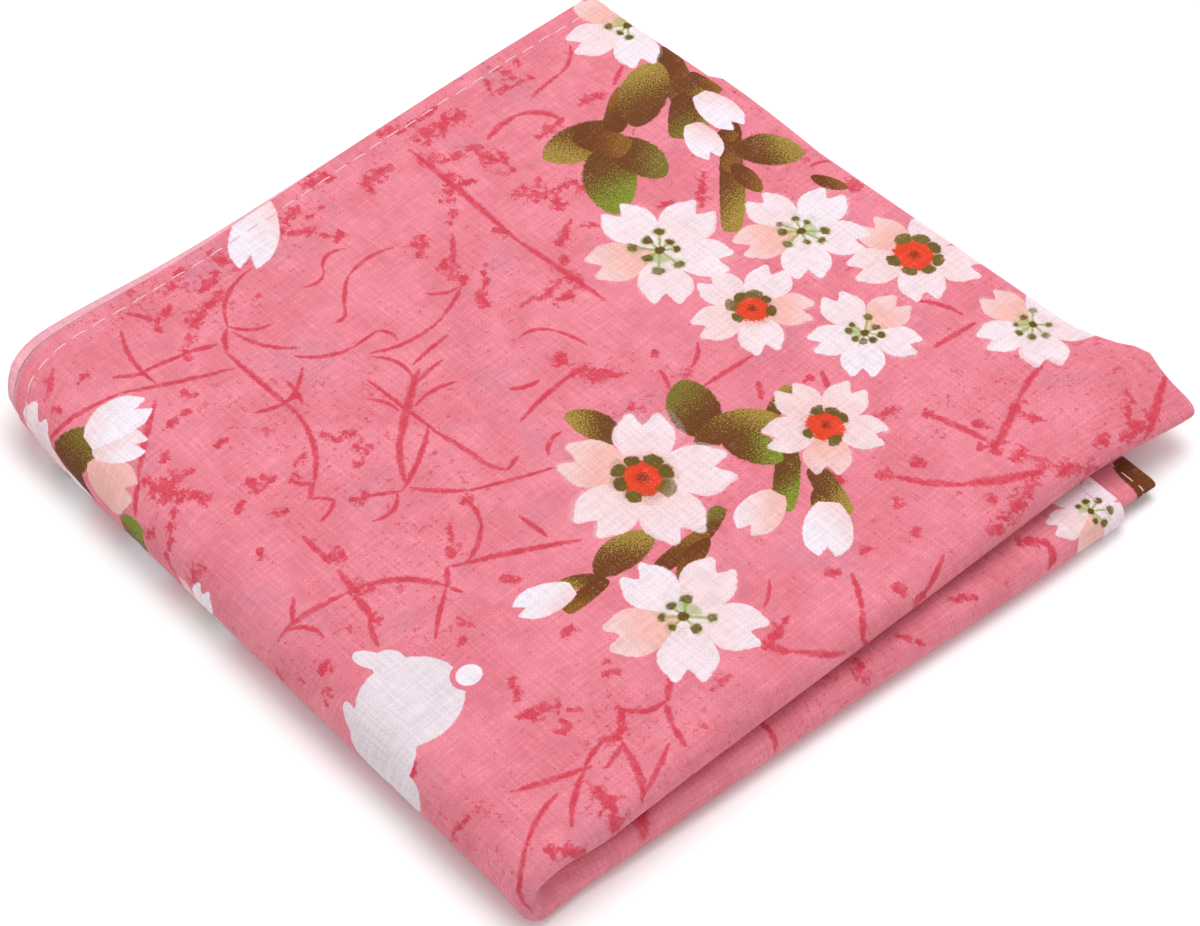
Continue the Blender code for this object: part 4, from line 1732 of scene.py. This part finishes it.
    def stamens(
        self, tone: Value, radius: Number, turn: Number, red: Number, seed: Number
    ) -> Number:
        """Draws a blossom's middle: stamens with dots, or a ragged red disc among dots.

        Args:
            tone: The petals' colour.
            radius: Distance from the middle.
            turn: Direction from the middle, in turns.
            red: 0 for green stamens, 1 for the red disc.
            seed: A number that differs from blossom to blossom.

        Returns:
            The colour with the middle on it.
        """
        net, dyes = self.net, self.dyes
        count = 8.0
        spoke = (turn + seed) * count
        number = net.sum("FLOORED_MODULO", net.sum("FLOOR", spoke), count)
        luck = net.luck(number + seed * 91.0)
        chance = net.luck(number + seed * 53.0 + 0.5)
        off = net.sum("FRACT", spoke) - 0.5 + (luck - 0.5) * 0.55
        sideways = off * radius * (math.tau / count)
        disc = 0.35 - seed * 0.10
        ring = (0.18 + chance * 0.20) * (1.0 - red) + (disc + chance * 0.05 - 0.01) * red
        wide = 0.85 - red * 0.22
        far = (sideways * wide) ** 2.0 + (radius - ring) ** 2.0
        far = net.sum("SQRT", far) + self.ragged * 0.06
        size = 0.038 + luck * 0.036 + red * (0.018 + chance * 0.022)
        shown = luck > 0.16
        fan = net.ramp(radius, 0.26, 0.20) * net.ramp(
            abs(net.sum("FRACT", turn + seed * 3.0) - 0.5), 0.17, 0.12, 0.0, 0.6
        )
        tone = net.mix(fan * (1.0 - red), tone, dyes.stalk)
        stalk = net.ramp(abs(sideways) + self.ragged * 0.03, 0.030, 0.014) * (radius < ring)
        tone = net.mix(stalk * shown * (1.0 - red) * 0.9, tone, dyes.stalk)
        heart = net.ramp(radius + self.ragged * 0.08, 0.085, 0.055) * (1.0 - red)
        tone = net.mix(heart, tone, dyes.dot)
        rim = radius + self.ragged * 0.22 - disc
        glow = net.mix(net.ramp(radius + self.grain * 0.2, 0.10, 0.03), dyes.ember, dyes.ember_deep)
        tone = net.mix(net.ramp(rim, 0.02, -0.03) * red, tone, glow)
        tone = net.mix(net.ramp(far - size, 0.045, 0.0, 0.0, 0.55) * shown * (1.0 - red), tone, dyes.stalk)
        dark = net.mix(chance * 0.5, dyes.dot, dyes.olive)
        return net.mix(net.ramp(far - size, 0.012, -0.012) * shown, tone, dark)

    def oval(
        self, x: Number, y: Number, place: tuple[float, float], size: tuple[float, float], turn: float
    ) -> Number:
        """How far inside an oval a point lies.

        Args:
            x: The point's x.
            y: The point's y.
            place: The oval's middle.
            size: Its two radii.
            turn: Its turn in degrees.

        Returns:
            1 in the middle, 0 on the edge and less outside.
        """
        cosine, sine = math.cos(math.radians(turn)), math.sin(math.radians(turn))
        dx, dy = x - place[0], y - place[1]
        run = dx * (cosine / size[0]) + dy * (sine / size[0])
        rise = dy * (cosine / size[1]) - dx * (sine / size[1])
        return 1.0 - self.net.sum("SQRT", run * run + rise * rise)

    def beast(self, colour: Value) -> Number:
        """Lays the plain white animal shape and its ball, made of ovals."""
        net, dyes = self.net, self.dyes
        x, y, _ = self.chart("beast", 0)
        ovals = (
            ((-0.02, -0.03), (0.81, 0.71), 4.0),
            ((0.06, 0.88), (0.14, 0.27), 24.0),
            ((0.20, 0.64), (0.24, 0.26), 0.0),
            ((-0.76, 0.36), (0.11, 0.34), -28.0),
            ((-0.78, -0.22), (0.52, 0.60), 0.0),
            ((-1.08, -0.84), (0.30, 0.32), 20.0),
        )
        body: Value = -9.0
        for place, size, turn in ovals:
            body = net.sum("MAXIMUM", self.oval(x, y, place, size, turn), body)
        colour = net.mix(net.ramp(body + self.ragged * 0.06, -0.01, 0.025), colour, dyes.beast)
        gap = self.oval(x, y, (0.84, -0.26), (0.265, 0.255), 0.0) + self.ragged * 0.1
        colour = net.mix(net.ramp(gap, -0.02, 0.05), colour, dyes.deep_pink)
        ball = self.oval(x, y, (0.85, -0.26), (0.195, 0.175), 0.0)
        return net.mix(net.ramp(ball, -0.03, 0.08), colour, dyes.petal)

    def weave(self, colour: Value) -> tuple[Number, Number]:
        """Adds the plain weave's light and dark threads.

        Args:
            colour: The print.

        Returns:
            The colour with the threads in it, and the weave's height.
        """
        net = self.net
        along, down, _ = net.parts(self.place)
        step = math.pi / self.pitch
        cross = net.sum("SINE", along * step) * net.sum("SINE", down * step)
        long, short = 0.09 / self.pitch, 0.9 / self.pitch
        slub = net.noise(net.join(along * short, down * long), 1.0, 1.0, 0.5)
        slub = slub + net.noise(net.join(along * long, down * short), 1.0, 1.0, 0.5) - 1.0
        height = abs(cross) ** 0.5 + slub * 0.6
        light = slub * 0.38 + cross * 0.05 + self.grain * 0.24
        colour = net.mix(net.ramp(light, 0.04, 0.34, 0.0, 0.16), colour, self.dyes.thread_pale)
        shade = net.ramp(light, -0.30, 0.30, 0.85, 1.13)
        return net.node("VectorMath", 0, colour, Scale=shade, operation="SCALE"), height

    def build(self) -> bpy.types.Material:
        """Builds the finish.

        Returns:
            The material.
        """
        net = self.net
        colour = self.strokes(self.ground(), "splash", (0.30, 0.85), self.torn * 6.5, 0.9)
        colour = self.strokes(colour, "stroke", (0.42, 1.12), self.ragged * 1.6, 0.95)
        colour = self.beast(self.blossoms(self.buds(self.leaves(colour))))
        wrong = 1.0 - net.parts(net.kept("printed_side"))[0]
        colour = net.mix(wrong * 0.5, colour, self.dyes.thread_pale)
        colour, height = self.weave(colour)
        net.finish(colour, height, 0.00004, 0.9)
        return net.material


@dataclass
class SewingThread:
    """The pale two-ply thread's finish.

    Attributes:
        colour: The thread.
        shadow: Painted shade in the dip between its plies.
        twist: Length of one turn of the plies.
    """

    colour: Colour = ink(240, 198, 206)
    shadow: Colour = ink(206, 138, 150)
    twist: float = 0.00055

    def build(self) -> bpy.types.Material:
        """Builds the finish.

        Returns:
            The material.
        """
        net = Net("sewing_thread")
        along, cosine, sine = net.parts(net.kept("thread"))
        turn = along * (math.tau / self.twist)
        plies = net.sum("SINE", turn) * cosine + net.sum("COSINE", turn) * sine
        fluff = net.noise(net.join(along, cosine * 0.0002), 9000.0, 2.0, 0.6)
        # Painted shade: the thread turns to its shadow colour in the dips between its plies, broken up by
        # fluff noise.
        wear_and_ply_shade = net.ramp(abs(plies) + fluff * 0.4, 0.15, 0.75)
        net.finish(net.mix(wear_and_ply_shade, self.shadow, self.colour), abs(plies), 0.00004, 0.75)
        return net.material


class Studio:
    """The pale floor, the soft lights and the camera."""

    @dataclass(frozen=True)
    class Sizes:
        """Sizes and places of the studio.

        Attributes:
            azimuth: Camera's direction round the cloth, in degrees.
            elevation: Its height above the horizon, in degrees.
            target: The point that it looks at.
            distance: How far it stands from that point.
            lens: Focal length, in Blender's millimetres.
            floor: The floor's side.
        """

        azimuth: float = -42.9
        elevation: float = 47.4
        target: tuple[float, float, float] = (-0.00850, -0.01288, 0.01045)
        distance: float = 0.4675
        lens: float = 100.41
        floor: float = 6.0

    def __init__(self) -> None:
        """Takes the usual sizes."""
        self.sizes = self.Sizes()

    def add_camera(self) -> None:
        """Adds the camera at the photograph's angle."""
        sizes = self.sizes
        turn, rise = math.radians(sizes.azimuth), math.radians(sizes.elevation)
        back = Vector(
            (
                math.sin(turn) * math.cos(rise),
                -math.cos(turn) * math.cos(rise),
                math.sin(rise),
            )
        )
        data = bpy.data.cameras.new("camera")
        data.lens = sizes.lens
        data.sensor_width = 36.0
        data.clip_start = 0.01
        camera = bpy.data.objects.new("camera", data)
        camera.location = Vector(sizes.target) + back * sizes.distance
        camera.rotation_mode = "QUATERNION"
        camera.rotation_quaternion = (-back).to_track_quat("-Z", "Y")
        bpy.context.scene.collection.objects.link(camera)
        bpy.context.scene.camera = camera

    def add_floor(self) -> None:
        """Adds the plain floor that the cloth lies on."""
        mesh = bpy.data.meshes.new("floor")
        work = bmesh.new()
        bmesh.ops.create_grid(work, x_segments=1, y_segments=1, size=self.sizes.floor / 2)
        work.to_mesh(mesh)
        work.free()
        net = Net("pale_floor")
        net.put(net.surface.inputs["Base Color"], ink(250, 250, 250))
        net.put(net.surface.inputs["Roughness"], 0.9)
        net.put(net.surface.inputs["Specular IOR Level"], 0.0)
        mesh.materials.append(net.material)
        floor = bpy.data.objects.new("floor", mesh)
        bpy.context.scene.collection.objects.link(floor)

    def add_light(
        self, name: str, place: tuple[float, float, float], size: float, power: float
    ) -> None:
        """Adds a soft square light that faces the cloth.

        Args:
            name: The light's name.
            place: Where it hangs.
            size: Its side.
            power: Its power in watts.
        """
        data = bpy.data.lights.new(name, "AREA")
        data.size = size
        data.energy = power
        light = bpy.data.objects.new(name, data)
        light.location = place
        light.rotation_mode = "QUATERNION"
        light.rotation_quaternion = (-Vector(place)).to_track_quat("-Z", "Y")
        bpy.context.scene.collection.objects.link(light)

    def add_lights(self) -> None:
        """Adds the lights and the white surroundings."""
        world = bpy.data.worlds.new("white_room")
        bpy.context.scene.world = world
        world.use_nodes = True
        surround = world.node_tree.nodes["Background"]
        surround.inputs["Color"].default_value = (1.0, 1.0, 1.0, 1.0)
        surround.inputs["Strength"].default_value = 0.75
        self.add_light("overhead", (0.35, 0.25, 1.1), 0.9, 9.0)
        bpy.context.scene.view_settings.view_transform = "Standard"
        bpy.context.scene.view_settings.look = "None"

    def build(self) -> None:
        """Builds the studio."""
        self.add_camera()
        self.add_floor()
        self.add_lights()


def print_cloth(cloth: bpy.types.Object, printed: Points) -> None:
    """Prints the cloth and gives it its finish.

    Args:
        cloth: The cloth.
        printed: For each face, whether it is on the printed side.
    """
    design = PrintDesign()
    kinds = (
        ("splash", 4, design.splashes),
        ("stroke", 5, design.strokes),
        ("leaf", 6, design.leaves),
        ("bud", 3, design.buds),
        ("blossom", 4, design.blossoms),
        ("beast", 1, design.beasts),
    )
    layers = PrintLayers(cloth.data, printed)
    layers.keep_side()
    for name, count, motifs in kinds:
        left_over = layers.lay(name, count, design.charts(motifs))
        LOG.info("print: %d of %s found no room", left_over, name)
    finish = PrintedCotton({name: count for name, count, _ in kinds})
    cloth.data.materials.append(finish.build())


def main() -> None:
    logging.basicConfig(level=logging.INFO, format="%(message)s")
    Studio().build()
    sizes = ClothSizes()
    sheet = CottonSheet(FoldPlan(sizes), Settling(sizes))
    cloth, flat, printed = sheet.build()
    print_cloth(cloth, printed)
    LOG.info("%s: %d faces", cloth.name, len(cloth.data.polygons))
    stitches = HemStitching(sheet).build()
    stitches.data.materials.append(SewingThread().build())
    LOG.info("%s: %d faces", stitches.name, len(stitches.data.polygons))
    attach(cloth, "root")
    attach(stitches, "root")
    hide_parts(NODE)
    sheet.plan.flat


if __name__ == "__main__":
    main()
